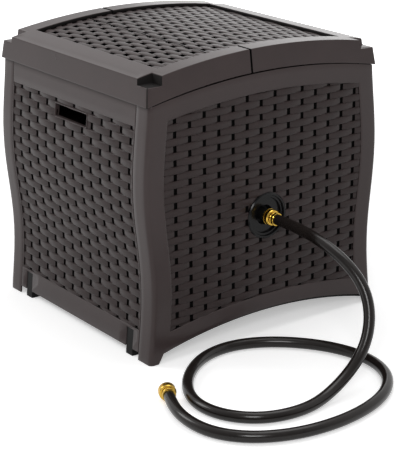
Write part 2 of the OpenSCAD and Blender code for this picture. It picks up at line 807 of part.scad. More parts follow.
module reel_flange_right() {
    color(black) translate([0, 0, reel_z]) difference() {
        flange_disc();
        rod_x(hub_r, flange_x - cut, flange_x + plate_t + cut);
        for (a = [60:120:300]) rotate([a, 0, 0]) translate([0, 0, hub_screw_r])
            rod_x(screw_r + fit_gap, flange_x - cut, flange_x + plate_t + cut);
    }
}
key = 18;                                 // side of the crank shaft's square ends
module reel_flange_left() {
    color(black) mirror([1, 0, 0]) translate([0, 0, reel_z]) difference() {
        union() {
            flange_disc();
            rod_x(hub_r, flange_x - 12, flange_x + plate_t);
        }
        block([flange_x - 13, -key / 2 - screw_gap, -key / 2 - screw_gap],
            [flange_x + plate_t + cut, key / 2 + screw_gap, key / 2 + screw_gap]);
    }
}
module bush() {
    difference() {
        rod_x(collar_r, journal_x + 2, collar_x);
        rod_x(journal_r + run_gap, journal_x, collar_x + cut);
    }
}
module right_bush() { color(acetal) translate([0, 0, reel_z]) bush(); }
module left_bush() { color(acetal) mirror([1, 0, 0]) translate([0, 0, reel_z]) bush(); }

outlet_x = flange_x - outlet_in;                 // place of the outlet along the drum
outlet_boss_r = 18;
outlet_seat = drum_r + 3;                 // distance from the axis to the fitting's seat
elbow_end = drum_r - 8;
// Half of the drum: s = -1 is the front half.
module drum_half(s) {
    intersection() {
        difference() {
            union() {
                difference() {
                    rod_x(drum_r, -flange_x, flange_x);
                    rod_x(drum_r - drum_wall, -flange_x - cut, flange_x + cut);
                }
                intersection() {
                    for (e = [-1, 1], a = reel_screw_a) rotate([a, 0, 0])
                        translate([e < 0 ? -flange_x : flange_x - screw_boss_l, 0, reel_screw_r])
                            rod_x(screw_boss_r, 0, screw_boss_l);
                    rod_x(drum_r - 1, -flange_x, flange_x);
                }
                if (s < 0) translate([outlet_x, 0, 0])
                    rod_y(outlet_boss_r, -outlet_seat, 2 - drum_r + drum_wall / 2);
            }
            for (e = [-1, 1], a = reel_screw_a) rotate([a, 0, 0])
                translate([e * (flange_x - 10), 0, reel_screw_r])
                    rod_x(screw_r + screw_gap, -10 - cut, 10 + cut);
            translate([outlet_x, 0, 0]) rod_y(thread_r + screw_gap, -2 * drum_r, -drum_r / 2);
        }
        block([-box_w, s < 0 ? -box_d : screw_gap, -box_d],
            [box_w, s < 0 ? -screw_gap : box_d, box_d]);
    }
}
module drum_front() { color(black) translate([0, 0, reel_z]) drum_half(-1); }
module drum_rear() { color(black) translate([0, 0, reel_z]) drum_half(1); }
module reel_screws() {
    color(steel) translate([0, 0, reel_z]) {
        for (s = [0, 1], a = reel_screw_a) mirror([s, 0, 0])
            rotate([a, 0, 0]) translate([flange_x + plate_t, 0, reel_screw_r])
                rotate([0, -90, 0]) screw(plate_t + screw_boss_l - 8);
        for (a = [60:120:300]) rotate([a, 0, 0])
            translate([flange_x + plate_t, 0, hub_screw_r])
                rotate([0, -90, 0]) screw(plate_t + 5);
    }
}
hub_body_r = 18;
hub_flange_t = 8;
module water_hub() {
    color(acetal) translate([0, 0, reel_z]) difference() {
        union() {
            rod_x(hub_r - screw_gap, flange_x - 1, journal_x - fit_gap - 6);
            rod_x(hub_r + 11, flange_x - hub_flange_t, flange_x);
            rod_x(hub_body_r, outlet_x - hub_body_r, flange_x - 1);
        }
        rod_x(nose_r + 0.2, nose_x - 1, journal_x);
        rod_x(water_r, outlet_x, nose_x);
        translate([outlet_x, 0, 0]) rod_y(water_r, -hub_body_r - cut, 0);
        translate([outlet_x, 0, 0]) rod_y(water_r + 3, -hub_body_r - cut, 3 - hub_body_r);
        for (a = [60:120:300]) rotate([a, 0, 0]) translate([0, 0, hub_screw_r])
            rod_x(screw_r + screw_gap, flange_x - hub_flange_t + 1, flange_x + cut);
    }
}
module outlet_elbow() {
    color(black) translate([outlet_x, 0, reel_z]) difference() {
        union() {
            rod_y(water_r + 3 - screw_gap, -elbow_end, 3 - hub_body_r);
            rod_y(thread_r - 0.5, -elbow_end, 4 - elbow_end);
        }
        rod_y(water_r, -elbow_end - cut, 3 - hub_body_r + cut);
    }
}
outlet_thread_l = 15;
module outlet_fitting() {
    color(black) translate([outlet_x, 0, reel_z]) difference() {
        union() {
            rod_y(thread_r, -outlet_seat - 5 - outlet_thread_l, -elbow_end);
            rod_y(outlet_boss_r - 1, -outlet_seat - 5, -outlet_seat);
        }
        rod_y(water_r, -outlet_seat - 5 - outlet_thread_l - cut, cut - elbow_end);
    }
}

// Crank, on the side away from the inlet; drawn on the +X side and mirrored

arm_x = plate_x + dish_h + 6;             // inner face of the crank arm
module crank_side() { mirror([1, 0, 0]) translate([0, 0, reel_z]) children(); }
module crank_shaft() {
    color(steel) crank_side() difference() {
        union() {
            rod_x(tube_r, flange_x + plate_t + 1, arm_x);
            rod_x(nut_recess_r - 1, shoulder_x + fit_gap, shoulder_x + 5);
            block([flange_x - 10, -key / 2, -key / 2], [flange_x + plate_t + 2, key / 2, key / 2]);
            block([arm_x - cut, -key / 2, -key / 2], [arm_x + arm_t, key / 2, key / 2]);
        }
        rod_x(screw_r + screw_gap, arm_x, arm_x + arm_t + cut);
    }
}
module crank_arm() {
    color(black) crank_side() difference() {
        union() {
            hull() {
                rod_x(arm_boss_r - 3, arm_x, arm_x + arm_t);
                translate([0, 0, -crank_l]) rod_x(arm_end_r - 1, arm_x + 2, arm_x + arm_t);
            }
            rod_x(arm_boss_r, arm_x, arm_x + arm_t);
            translate([0, 0, -crank_l]) rod_x(arm_end_r, arm_x, arm_x + arm_t + 2);
        }
        block([arm_x - cut, -key / 2 - screw_gap, -key / 2 - screw_gap],
            [arm_x + arm_t + cut, key / 2 + screw_gap, key / 2 + screw_gap]);
        translate([0, 0, -crank_l]) rod_x(knob_pin_r + screw_gap, arm_x - cut, arm_x + arm_t + 3);
    }
}
module crank_screw() {
    color(steel) crank_side() translate([arm_x + arm_t, 0, 0]) union() {
        rod_x(key * 0.8, 0, 2);
        rod_x(6, 2, 6);
        rod_x(screw_r, -arm_t + 2, 3);
    }
}
knob_x = arm_x + arm_t + 4;
module knob_pin() {
    color(steel) crank_side() translate([0, 0, -crank_l]) union() {
        rod_x(knob_pin_r, arm_x, knob_x + knob_l + 2);
        rod_x(knob_pin_r + 3, knob_x + knob_l + 1, knob_x + knob_l + 4);
    }
}
module knob_washer() {
    color(steel) crank_side() translate([0, 0, -crank_l]) difference() {
        rod_x(knob_pin_r + 4, arm_x + arm_t + 2, knob_x - fit_gap);
        rod_x(knob_pin_r + screw_gap, arm_x, knob_x + cut);
    }
}
module crank_knob() {
    r = knob_r;
    l = knob_l;
    color(black) crank_side() translate([knob_x, 0, -crank_l]) rotate([0, 90, 0])
        rotate_extrude($fn = curve_fn) polygon([
            [knob_pin_r + run_gap, 0], [r - 3, 0], [r - 1.5, 2], [r - 2.5, 0.2 * l],
            [r - 1, 0.45 * l], [r, 0.7 * l], [r - 0.6, 0.85 * l], [r - 3, 0.95 * l],
            [r - 5, l], [knob_pin_r + run_gap, l]]);
}

// Leader hose and its couplings

tap_turn = 155;                           // direction in which the free coupling points
tap_z = nut_r + 0.2;
tap_end = [414, -344, tap_z];
// Points that draw the hose's route, from the inlet to the free coupling.
route = [[hose_x, 0, reel_z], [365, 0, 244], [435, 0, 235], [500, 15, 200], [540, 20, 150],
    [565, -5, 88], [570, -50, 40], [580, -120, 11], [595, -185, 11], [580, -260, 11],
    [525, -310, 11], [455, -320, 11], [390, -290, 11], [340, -245, 11], [300, -185, 11],
    [290, -115, 11], [315, -50, 11], [365, 5, 11], [420, 40, 11], [490, 60, 11],
    [565, 45, 11], [620, -5, 11], [650, -65, 11], [665, -135, 11], [665, -205, 11],
    [650, -270, 11], [615, -330, 11], [555, -370, 11], [478, -374, tap_z], tap_end];
// The route is a cubic spline that the points pull along; it starts and ends on the end points.
function at(i) = i < 0 ? 2 * route[0] - route[1]
    : i >= len(route) ? 2 * route[len(route) - 1] - route[len(route) - 2] : route[i];
function spline(i, t) = (pow(1 - t, 3) * at(i - 1) + (3 * t * t * t - 6 * t * t + 4) * at(i)
    + (3 * t * t - 3 * t * t * t + 3 * t + 1) * at(i + 1) + t * t * t * at(i + 2)) / 6;
route_steps = 2;                          // rings per route point
path = concat([for (i = [0:len(route) - 2], k = [0:route_steps - 1]) spline(i, k / route_steps)],
    [route[len(route) - 1]]);
function unit(v) = v / norm(v);
function heading(i) = i == 0 ? [1, 0, 0]
    : i == len(path) - 1 ? [cos(tap_turn), sin(tap_turn), 0]
    : unit(path[i + 1] - path[i - 1]);
function hose_ring(i) = let (h = heading(i), side = unit(cross([0, 0, 1], h)), up = cross(h, side))
    [for (k = [0:hose_sides - 1]) let (a = 360 * k / hose_sides)
        path[i] + hose_d / 2 * (cos(a) * side + sin(a) * up)];
module leader_hose() {
    color(black) loft([for (i = [0:len(path) - 1]) hose_ring(i)]);
}
nut_z = ferrule_len + 0.4;                // start of a nut, measured from the hose's end
nut_bore_r = thread_r + 0.45;
nut_relief = 0.35;                        // depth of the relief behind a nut's thread
module nut() {
    difference() {
        rod_z(nut_r, nut_z, nut_z + nut_len);
        rod_z(nut_bore_r, nut_z + nut_back, nut_z + nut_len + cut);
        rod_z(nut_bore_r + nut_relief, nut_z + nut_back, seat);
        rod_z(hose_d / 2 + run_gap, nut_z - cut, nut_z + nut_back + cut);
    }
}
module tail() {
    neck_r = hose_d / 2 - 0.1;
    difference() {
        union() {
            rod_z(hose_d / 2 + 2, 0, ferrule_len);
            rod_z(neck_r, ferrule_len - cut, nut_z + nut_back + fit_gap + cut);
            rod_z(thread_r - 0.7, nut_z + nut_back + fit_gap,
                nut_z + nut_back + fit_gap + tail_flange);
        }
        rod_z(water_r - 1, -cut, nut_z + nut_len);
    }
}
module washer() {
    z = seat - washer_t;
    difference() {
        rod_z(thread_r - 0.3, z, seat);
        rod_z(water_r, z - cut, seat + cut);
    }
}
module at_inlet() { translate([hose_x, 0, reel_z]) rotate([0, -90, 0]) children(); }
module at_tap() { translate(tap_end) rotate([0, 90, tap_turn]) children(); }
module inlet_nut() { color(brass) at_inlet() nut(); }
module inlet_tail() { color(brass) at_inlet() tail(); }
module inlet_washer() { color(black) at_inlet() washer(); }
module tap_nut() { color(brass) at_tap() nut(); }
module tap_tail() { color(brass) at_tap() tail(); }
module tap_washer() { color(black) at_tap() washer(); }

right_side_panel();
left_side_panel();
front_panel();
rear_panel();
base_tray();
rear_lid();
front_lid();
hinge_pins();
panel_screws();
base_screws();
lid_screws();
inlet_flange();
inlet_lock_ring();
inlet_tube();
inlet_clip();
inlet_o_rings();
crank_flange();
crank_lock_ring();
reel_flange_right();
reel_flange_left();
right_bush();
left_bush();
drum_front();
drum_rear();
reel_screws();
water_hub();
outlet_elbow();
outlet_fitting();
crank_shaft();
crank_arm();
crank_screw();
knob_pin();
knob_washer();
crank_knob();
leader_hose();
inlet_nut();
inlet_tail();
inlet_washer();
tap_nut();
tap_tail();
tap_washer();
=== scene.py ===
import math

import bpy
import numpy as np
from mathutils import Matrix, Vector


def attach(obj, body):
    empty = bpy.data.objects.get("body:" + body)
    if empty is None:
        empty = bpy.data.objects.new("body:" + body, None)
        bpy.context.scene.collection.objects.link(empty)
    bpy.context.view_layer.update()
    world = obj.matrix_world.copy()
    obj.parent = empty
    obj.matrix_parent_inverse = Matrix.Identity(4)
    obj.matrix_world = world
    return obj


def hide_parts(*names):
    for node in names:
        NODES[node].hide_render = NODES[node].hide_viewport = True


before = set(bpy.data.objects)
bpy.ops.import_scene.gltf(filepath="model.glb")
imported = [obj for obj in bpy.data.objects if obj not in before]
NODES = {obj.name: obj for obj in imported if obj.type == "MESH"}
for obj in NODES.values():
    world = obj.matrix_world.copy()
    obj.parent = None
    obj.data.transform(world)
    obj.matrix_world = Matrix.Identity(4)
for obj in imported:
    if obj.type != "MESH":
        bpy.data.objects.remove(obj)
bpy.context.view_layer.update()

MM = 0.001

# ---------------------------------------------------------------- the box, in millimetres

HALF_W = 262.0                      # half its width
BOX_D = 551.0                       # its mean depth; front and rear bow in and out from there
BOW, BOW_PITCH = 7.0, 400.0         # height and pitch of the bow
WAIST_Z = 140.0                     # where the bow is narrowest
POST_W, SIDE_POST = 42.5, 42.0      # a corner post, from the front and from the side
FIELD = 5.0                         # depth of the field that holds the wicker of a panel
WALL = 3.6                          # thickness of the moulded walls
LID_GAP = 1.2                       # gap between the panels and the lid
LID_Z = 502.0                       # lower edge of the lid at the front and the rear
LID_H = 44.0                        # the lid's height, 2 less than in the part's source
LID_R, EDGE_R = 1400.0, 1320.0      # arches of the lid's top and of its lower edge
ARCH_Z, FOOT_H, FOOT_LEN = 50.5, 19.0, 30.0    # the arch under a side panel, and its feet
REEL_Z = 244.0                      # height of the reel, the inlet and the crank


def rise(r, y):
    """How far an arch of radius r has fallen at a distance y from its crown."""
    return r - math.sqrt(r * r - y * y)


SIDE_TOP = LID_Z + rise(EDGE_R, BOX_D / 2)
LID_TOP = SIDE_TOP + LID_H
POST_X = HALF_W - POST_W


def half_d(z):
    """Distance of the bowed front and rear from the middle, at height z."""
    return BOX_D / 2 - BOW * math.cos(2 * math.pi * (z - WAIST_Z) / BOW_PITCH)


def slope_d(z):
    """Slope of half_d."""
    return BOW * 2 * math.pi / BOW_PITCH * math.sin(2 * math.pi * (z - WAIST_Z) / BOW_PITCH)


ARCH_HALF = half_d(0) - FOOT_LEN
ARCH_R = (ARCH_HALF ** 2 + (ARCH_Z - FOOT_H) ** 2) / (2 * (ARCH_Z - FOOT_H))


def lid_top_z(y):
    """Height of the lid's arch at y."""
    return LID_TOP - rise(LID_R, y)


# ---------------------------------------------------------------- camera

AZIMUTH, ELEVATION, ROLL = 53.66, 19.22, -0.48       # degrees, solved from the box's edges
CAMERA_AT = (2.46464, -1.78016, 1.21286)             # metres
LENS, SENSOR = 123.98, 36                            # millimetres


def aim_camera():
    az, el, roll = (math.radians(a) for a in (AZIMUTH, ELEVATION, ROLL))
    back = Vector((math.sin(az) * math.cos(el), -math.cos(az) * math.cos(el), math.sin(el)))
    right = Vector((math.cos(az), math.sin(az), 0))
    up = back.cross(right)
    rolled_right = math.cos(roll) * right + math.sin(roll) * up
    rolled_up = -math.sin(roll) * right + math.cos(roll) * up
    data = bpy.data.cameras.new("camera")
    data.lens, data.sensor_width = LENS, SENSOR
    data.clip_start, data.clip_end = 0.05, 60
    cam = bpy.data.objects.new("camera", data)
    m = Matrix((rolled_right, rolled_up, back)).transposed().to_4x4()
    m.translation = Vector(CAMERA_AT)
    cam.matrix_world = m
    bpy.context.scene.collection.objects.link(cam)
    bpy.context.scene.camera = cam


aim_camera()

# ---------------------------------------------------------------- materials

def new_material(name):
    mat = bpy.data.materials.new(name)
    mat.use_nodes = True
    nt = mat.node_tree
    return mat, nt, nt.nodes["Principled BSDF"]


def node(nt, kind, **values):
    """A shader node with some of its sockets or settings given by name."""
    n = nt.nodes.new(kind)
    for k, v in values.items():
        if k in n.inputs:
            n.inputs[k].default_value = v
        else:
            setattr(n, k, v)
    return n


def map_range(nt, source, *values):
    """Maps source from values[0:2] to values[2:4]."""
    n = node(nt, "ShaderNodeMapRange")
    for i, v in enumerate(values):
        n.inputs[i + 1].default_value = v
    nt.links.new(source, n.inputs[0])
    return n.outputs[0]


def surface(name, light, dark, rough, grain=900.0, grain_h=0.00006, patch=14.0, patch_mix=0.5,
            rough_swing=0.06, metallic=0.0, specular=0.5, speck=0.07):
    """A moulded or turned surface: patches between two colours, fine grain and uneven gloss.
    grain and patch are the scales of two noises, grain_h the grain's height in metres, and speck
    the part by which it changes the colour."""
    mat, nt, bsdf = new_material(name)
    link = nt.links.new
    where = node(nt, "ShaderNodeTexCoord").outputs["Object"]
    patches = node(nt, "ShaderNodeTexNoise", Scale=patch, Detail=4.0, Roughness=0.6)
    link(where, patches.inputs["Vector"])
    ramp = node(nt, "ShaderNodeValToRGB")
    ends = ramp.color_ramp.elements
    ends[0].position, ends[1].position = 0.5 - 0.5 * patch_mix, 0.5 + 0.5 * patch_mix
    ends[0].color, ends[1].color = (*dark, 1), (*light, 1)
    link(patches.outputs["Fac"], ramp.inputs["Fac"])
    fine = node(nt, "ShaderNodeTexNoise", Scale=grain, Detail=3.0, Roughness=0.55)
    link(where, fine.inputs["Vector"])
    specks = map_range(nt, fine.outputs["Fac"], 0.3, 0.7, 1 - speck, 1 + speck)
    mixed = node(nt, "ShaderNodeVectorMath", operation="SCALE")
    link(ramp.outputs["Color"], mixed.inputs[0])
    link(specks, mixed.inputs["Scale"])
    link(mixed.outputs[0], bsdf.inputs["Base Color"])
    gloss = map_range(nt, patches.outputs["Fac"], 0.25, 0.75, rough - rough_swing,
                      rough + rough_swing)
    link(gloss, bsdf.inputs["Roughness"])
    bump = node(nt, "ShaderNodeBump", Strength=0.5, Distance=grain_h)
    link(fine.outputs["Fac"], bump.inputs["Height"])
    link(bump.outputs["Normal"], bsdf.inputs["Normal"])
    bsdf.inputs["Metallic"].default_value = metallic
    bsdf.inputs["Specular IOR Level"].default_value = specular
    return mat


RESIN = surface("resin", (0.0585, 0.0425, 0.042), (0.0495, 0.036, 0.0355), 0.3, speck=0.05,
                specular=0.22, rough_swing=0.03)
WICKER = surface("wicker_resin", (0.045, 0.0322, 0.0317), (0.0335, 0.0242, 0.0237), 0.34,
                 patch=45.0, patch_mix=0.6, grain=380.0, grain_h=0.00025, speck=0.16,
                 specular=0.15)
# Near-black painted shadow, in the slots' pits, on the walls of the side panels' fields and at the
# ends of the lid's halves by the seam.
PAINTED_SHADOW = surface("painted_shadow_black", (0.003, 0.0026, 0.0026), (0.002, 0.002, 0.002), 0.9, specular=0.05)
SHADE = surface("resin_in_shade", (0.011, 0.0095, 0.0092), (0.008, 0.007, 0.007), 0.7,
                specular=0.15)
# Painted shade for a strip down each round corner of the lid's skirt.
CORNER_SHADE = surface("painted_corner_shade", (0.022, 0.019, 0.018), (0.016, 0.014, 0.013), 0.6,
                     specular=0.15)
BLACK = surface("black_resin", (0.006, 0.006, 0.006), (0.004, 0.004, 0.004), 0.5, specular=0.12)
GLOSS = surface("black_gloss", (0.006, 0.006, 0.0065), (0.004, 0.004, 0.0045), 0.2, grain=600.0,
                grain_h=0.00003, rough_swing=0.04, specular=0.16)
HOSE = surface("hose_black", (0.016, 0.0125, 0.0112), (0.0095, 0.0074, 0.0066), 0.2, grain=500.0,
               grain_h=0.00008, patch=30.0, rough_swing=0.05, specular=0.3)
RUBBER = surface("rubber_black", (0.02, 0.02, 0.02), (0.012, 0.012, 0.012), 0.7)
BRASS = surface("brass", (0.66, 0.43, 0.075), (0.46, 0.28, 0.045), 0.2, grain=700.0,
                grain_h=0.00004, patch=120.0, metallic=1.0)
STEEL = surface("zinc_steel", (0.62, 0.63, 0.65), (0.5, 0.51, 0.53), 0.32, grain=800.0,
                patch=90.0, metallic=1.0)
ACETAL = surface("acetal", (0.72, 0.72, 0.69), (0.66, 0.66, 0.62), 0.4)

# ---------------------------------------------------------------- mesh helpers

def make(name, verts, faces, mats, index=None, body="cabinet", slot="resin", stands_for=(),
         angle=35, solid=0.0):
    """A piece from points in millimetres. index gives each face its place in mats, angle is the
    least angle of a sharp edge, and solid a wall thickness, grown inwards."""
    me = bpy.data.meshes.new(name)
    me.from_pydata([(x * MM, y * MM, z * MM) for x, y, z in verts], [], faces)
    for m in mats:
        me.materials.append(m)
    if index is not None:
        me.polygons.foreach_set("material_index", index)
    me.validate()
    me.shade_smooth()
    me.set_sharp_from_angle(angle=math.radians(angle))
    ob = bpy.data.objects.new(name, me)
    bpy.context.scene.collection.objects.link(ob)
    if solid:
        mod = ob.modifiers.new("wall", "SOLIDIFY")
        mod.thickness, mod.offset, mod.use_even_offset = solid * MM, -1, True
    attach(ob, body)
    if stands_for:
        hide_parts(*stands_for)
    return ob


def grid_faces(rows, cols, keep=lambda i, j: True, flip=False):
    """Faces of a grid of points, those for which keep(row, column) is true."""
    out = []
    for i in range(rows - 1):
        for j in range(cols - 1):
            if keep(i, j):
                a, b = i * cols + j, i * cols + j + 1
                c, d = b + cols, a + cols
                out.append((a, d, c, b) if flip else (a, b, c, d))
    return out


def drop_unused(verts, faces):
    """The same mesh without the points that no face has."""
    used = sorted({i for f in faces for i in f})
    new = {old: k for k, old in enumerate(used)}
    return [verts[i] for i in used], [tuple(new[i] for i in f) for f in faces]


def ring_faces(loops, ends="open"):
    """Points and faces of a skin over closed loops of equally many points. Its ends are open,
    capped, or joined to each other."""
    m, n = len(loops), len(loops[0])
    faces = [(i * n + j, i * n + (j + 1) % n, (i + 1) % m * n + (j + 1) % n, (i + 1) % m * n + j)
             for i in range(m if ends == "joined" else m - 1) for j in range(n)]
    if ends == "capped":
        faces += [tuple(range(n))[::-1], tuple((m - 1) * n + j for j in range(n))]
    return [p for loop in loops for p in loop], faces


# ---------------------------------------------------------------- wicker

SLOT_HALF = 3.8                     # half the width of a slot in the panels
SLOT_T = 0.9                        # half its length, as a part of half a row
ROW_T = 0.965                       # where a strip's edge turns down, in the same measure
MID_T = 0.55                        # where a row of points lies between its middle and there
ALONG = (0.15, 0.25, 0.38, 0.5, 0.62, 0.75, 0.85)    # points of a strip between two slots
PANEL_DEPTHS = dict(top=0.7, low=4.9, floor=6.4)     # of crowns, dips and slots, from the face
LID_DEPTHS = dict(top=5.7, low=8.4, floor=13.0)
FULLNESS = 0.85                     # power of the sine that a swell follows; 1 is a plain sine
SAG, TURN_DOWN = 0.2, 0.1           # how much lower a strip's edges are, and more at ROW_T


def weave(name, first, pitch, odd, place, inside, u_range, v_range, top, low, floor,
          slot_half=SLOT_HALF, **kw):
    """Woven strips along u, in rows along v; first is the middle of column 0 and row 0, and pitch
    the step of columns and rows. Slots sit where column + row + odd is even, and between two of
    its slots a strip swells over the column that the rows beside it dip under. place(u, v, h)
    gives a point; h runs from -low, beside a slot, to -top, on a crown."""
    (u0, v0), (pu, pv) = first, pitch
    (ua, ub), (va, vb) = u_range, v_range
    columns = range(math.floor((ua - u0) / pu), math.ceil((ub - u0) / pu) + 1)
    strips = range(math.floor((va - v0) / pv), math.ceil((vb - v0) / pv) + 1)
    offsets = (-slot_half, slot_half, *(q * pu for q in ALONG))
    us = sorted(u0 + k * pu + off for k in columns for off in offsets)
    us = [u for u in us if ua <= u <= ub]
    vs = [(v0 + (j + t / 2) * pv, j, t) for j in strips
          for t in (-ROW_T, -SLOT_T, -MID_T, 0.0, MID_T, SLOT_T, ROW_T)]
    vs = [q for q in vs if va <= q[0] <= vb]

    def height(u, j, t):
        phase = (((u - u0) / pu - (j + odd) % 2) / 2) % 1.0
        swell = math.sin(math.pi * phase) ** FULLNESS
        across = 1 - SAG * abs(t) ** 3 - (TURN_DOWN if abs(t) == ROW_T else 0.0)
        return -low + (low - top) * swell * across

    cols, rows = len(us), len(vs)
    verts = [place(u, v, height(u, j, t)) for v, j, t in vs for u in us]
    faces, index = [], []
    for r in range(rows - 1):
        v_mid, j, t = (vs[r][0] + vs[r + 1][0]) / 2, vs[r][1], vs[r][2]
        for c in range(cols - 1):
            u_mid = (us[c] + us[c + 1]) / 2
            if not inside(u_mid, v_mid):
                continue
            k = round((u_mid - u0) / pu)
            corners = [(r, c), (r, c + 1), (r + 1, c + 1), (r + 1, c)]
            ring = [i * cols + q for i, q in corners]
            slot_column = abs(u_mid - u0 - k * pu) < slot_half and (k + j + odd) % 2 == 0
            if not slot_column or not -SLOT_T <= t < SLOT_T:
                faces.append(tuple(ring))
                index.append(0)
                continue
            # A blind slot: its floor, and the walls on the outer sides of this face, in near-black
            # painted shadow.
            low_ring = [len(verts) + i for i in range(4)]
            verts += [place(us[q], vs[i][0], -floor) for i, q in corners]
            faces.append(tuple(low_ring))
            walls = (t == -SLOT_T, True, vs[r + 1][2] == SLOT_T, True)
            faces += [(ring[i - 3], ring[i], low_ring[i], low_ring[i - 3])
                      for i in range(4) if walls[i]]
            index += [1] * (1 + sum(walls))
    return make(name, *drop_unused(verts, faces), [WICKER, PAINTED_SHADOW], index, angle=50, **kw)


# ---------------------------------------------------------------- side panels

SIDE_RAIL = 41.0                    # height of the rail over the field, which holds the wicker
FIELD_Z, FIELD_R = 82.0, 1250.0     # crown and radius of the field's lower edge
CORNER_R = 9.0                      # round of a post's upright edge
DISH_R, DISH_HOLE = 46.0, 42.0      # the inlet's or the crank's flange, and the hole behind it
UNDER, END_UNDER = 2.6, 1.2         # how far the wicker of a side or an end reaches under its frame
DISH_UNDER = 2.5                    # and how far under the flange
EDGE_TOP = SIDE_TOP - LID_GAP
EDGE_W = 1.2                        # width of a panel's rounded edge
ROUND = ((EDGE_W, 0.0), (0.35, 0.35), (0.0, EDGE_W))     # its points: depth, distance inwards
SLOPE_W = 3.0                       # width of the slope from a rail or post down to the field
CHAMFER = ((SLOPE_W, 0.0), (1.7, 0.35), (0.6, 1.5), (0.0, FIELD + 0.4))   # distance, depth
FIELD_COLS, FIELD_ROWS = 22, 16     # steps of the frame's grid across and up the field
OPEN = 99.0                         # the depth of what lies inside the field and gets no face
BACK_DEPTH = 9.0                    # depth of the sheet behind the wicker
GUESS_Z = 250.0                     # a height in the middle, where the search of side_frame starts


def side_low(y):
    """Height of a side panel's lower edge."""
    return 0.0 if abs(y) > ARCH_HALF else ARCH_Z - rise(ARCH_R, y)


def side_high(y):
    """Height of its upper edge."""
    return EDGE_TOP - rise(EDGE_R, y)


def field_high(y):
    return SIDE_TOP - SIDE_RAIL - rise(EDGE_R, y)


def field_low(y):
    return FIELD_Z - rise(FIELD_R, y)


def field_half(z):
    return half_d(z) - SIDE_POST


def side_z(kind, q, y, z):
    """Height of a point of a row at y; z is a first guess, for the field's width there."""
    lo, hi = side_low(y), side_high(y)
    y = max(-field_half(z), min(field_half(z), y))
    fl, fh = field_low(y), field_high(y)
    return {"low": lo + q, "lower rail": lo + EDGE_W + q * (fl - SLOPE_W - lo - EDGE_W),
            "field's foot": fl + q, "field": fl + q * (fh - fl), "field's head": fh + q,
            "upper rail": fh + SLOPE_W + q * (hi - EDGE_W - fh - SLOPE_W), "high": hi + q}[kind]


def side_plan(kind, q, end, z):
    """Where a column runs at height z, and which way the surface faces there; end is -1 for the
    front post, 1 for the rear one and 0 for the field."""
    y, n = half_d(z), (0, 1)
    if kind == "front":
        x = POST_X + q
    elif kind == "corner":
        n = (math.sin(q), math.cos(q))
        x, y = HALF_W - CORNER_R + CORNER_R * n[0], y - CORNER_R + CORNER_R * n[1]
    elif kind == "side":
        x, y, n = HALF_W, y - q, (1, 0)
    else:
        return HALF_W, -field_half(z) + 2 * q * field_half(z), (1, 0)
    return x, end * y, (n[0], end * n[1])


def side_frame(name, s, stands_for):
    """The posts and rails of a side panel; s is 1 on the inlet side and -1 on the crank side."""
    # A post's columns run from its rim on the front, round its corner, to the field; its rows
    # run from the foot to the lid. Each is a kind, a distance, angle or share, and a depth.
    post = [("front", along, depth) for depth, along in ROUND]
    post += [("front", 12.0, 0.0), ("front", 24.0, 0.0)]
    post += [("corner", math.radians(15 * i), 0.0) for i in range(7)]
    post += [("side", q, 0.0) for q in (20.0, 29.6, 30.4, 36.0)]
    post += [("side", SIDE_POST - along, depth) for along, depth in CHAMFER]
    across = [("field", i / FIELD_COLS, OPEN) for i in range(1, FIELD_COLS)]
    cols = [(c, -1) for c in post] + [(c, 0) for c in across] + [(c, 1) for c in post[::-1]]
    rows = [("low", along, depth) for depth, along in ROUND]
    rows += [("lower rail", q, 0.0) for q in (0.25, 0.5, 0.75)]
    rows += [("field's foot", -along, depth) for along, depth in CHAMFER]
    rows += [("field", i / FIELD_ROWS, OPEN) for i in range(1, FIELD_ROWS)]
    rows += [("field's head", along, depth) for along, depth in CHAMFER[::-1]]
    rows += [("upper rail", q, 0.0) for q in (0.33, 0.66)]
    rows += [("high", -along, depth) for depth, along in ROUND[::-1]]

    verts = []
    for row, row_q, row_depth in rows:
        for (col, col_q, col_depth), end in cols:
            # The front and rear bow with the height, so the height is found step by step.
            z = GUESS_Z
            for _ in range(4):
                x, y, n = side_plan(col, col_q, end, z)
                z = side_z(row, row_q, y, z)
            x, y, n = side_plan(col, col_q, end, z)
            d = min(row_depth if row.startswith("field") else 0.0,
                    col_depth if col in ("side", "field") else 0.0)
            if row in ("low", "high"):
                d = max(d, row_depth)
            if col == "front":
                d = max(d, col_depth)
            verts.append((s * (x - n[0] * d), y - n[1] * d, z))

    # The open field, from row r0 to row r1 and from column c0 to column c1.
    n_rows, n_cols = len(rows), len(cols)
    r0 = max(i for i, row in enumerate(rows) if row[0] == "field's foot")
    r1 = min(i for i, row in enumerate(rows) if row[0] == "field's head")
    c0, c1 = len(post) - 1, n_cols - len(post)
    faces = grid_faces(n_rows, n_cols, lambda i, j: not (r0 <= i < r1 and c0 <= j < c1),
                       flip=(s < 0))
    # The field's walls get near-black painted shadow; the top rows and the columns at the front and
    # rear edges get painted shade.
    index = []
    for f in faces:
        i, j = min(f) // n_cols, min(f) % n_cols
        wall = (i in (r0 - 1, r1) and c0 <= j < c1) or (j in (c0 - 1, c1) and r0 <= i < r1)
        rim = i >= n_rows - 2 or j in (0, n_cols - 2)
        index.append(2 if wall else 1 if rim else 0)
    make(name, *drop_unused(verts, faces), [RESIN, SHADE, PAINTED_SHADOW], index, solid=WALL,
         stands_for=stands_for)


def in_side_field(y, z, margin):
    """Whether a point lies in the field, or less than margin outside it, and off the flange."""
    return (math.hypot(y, z - REEL_Z) >= DISH_R - DISH_UNDER and abs(y) < field_half(z) + margin
            and field_low(y) - margin < z < field_high(y) + margin)


def side_weave(name, s):
    ob = weave(name, first=(-213.5, 6.8), pitch=(33.5, 13.6), odd=0,
               place=lambda u, v, h: (s * (HALF_W + h), u, v),
               inside=lambda u, v: in_side_field(u, v, UNDER),
               u_range=(-245, 245), v_range=(50, 500), **PANEL_DEPTHS)
    if s < 0:
        ob.data.flip_normals()


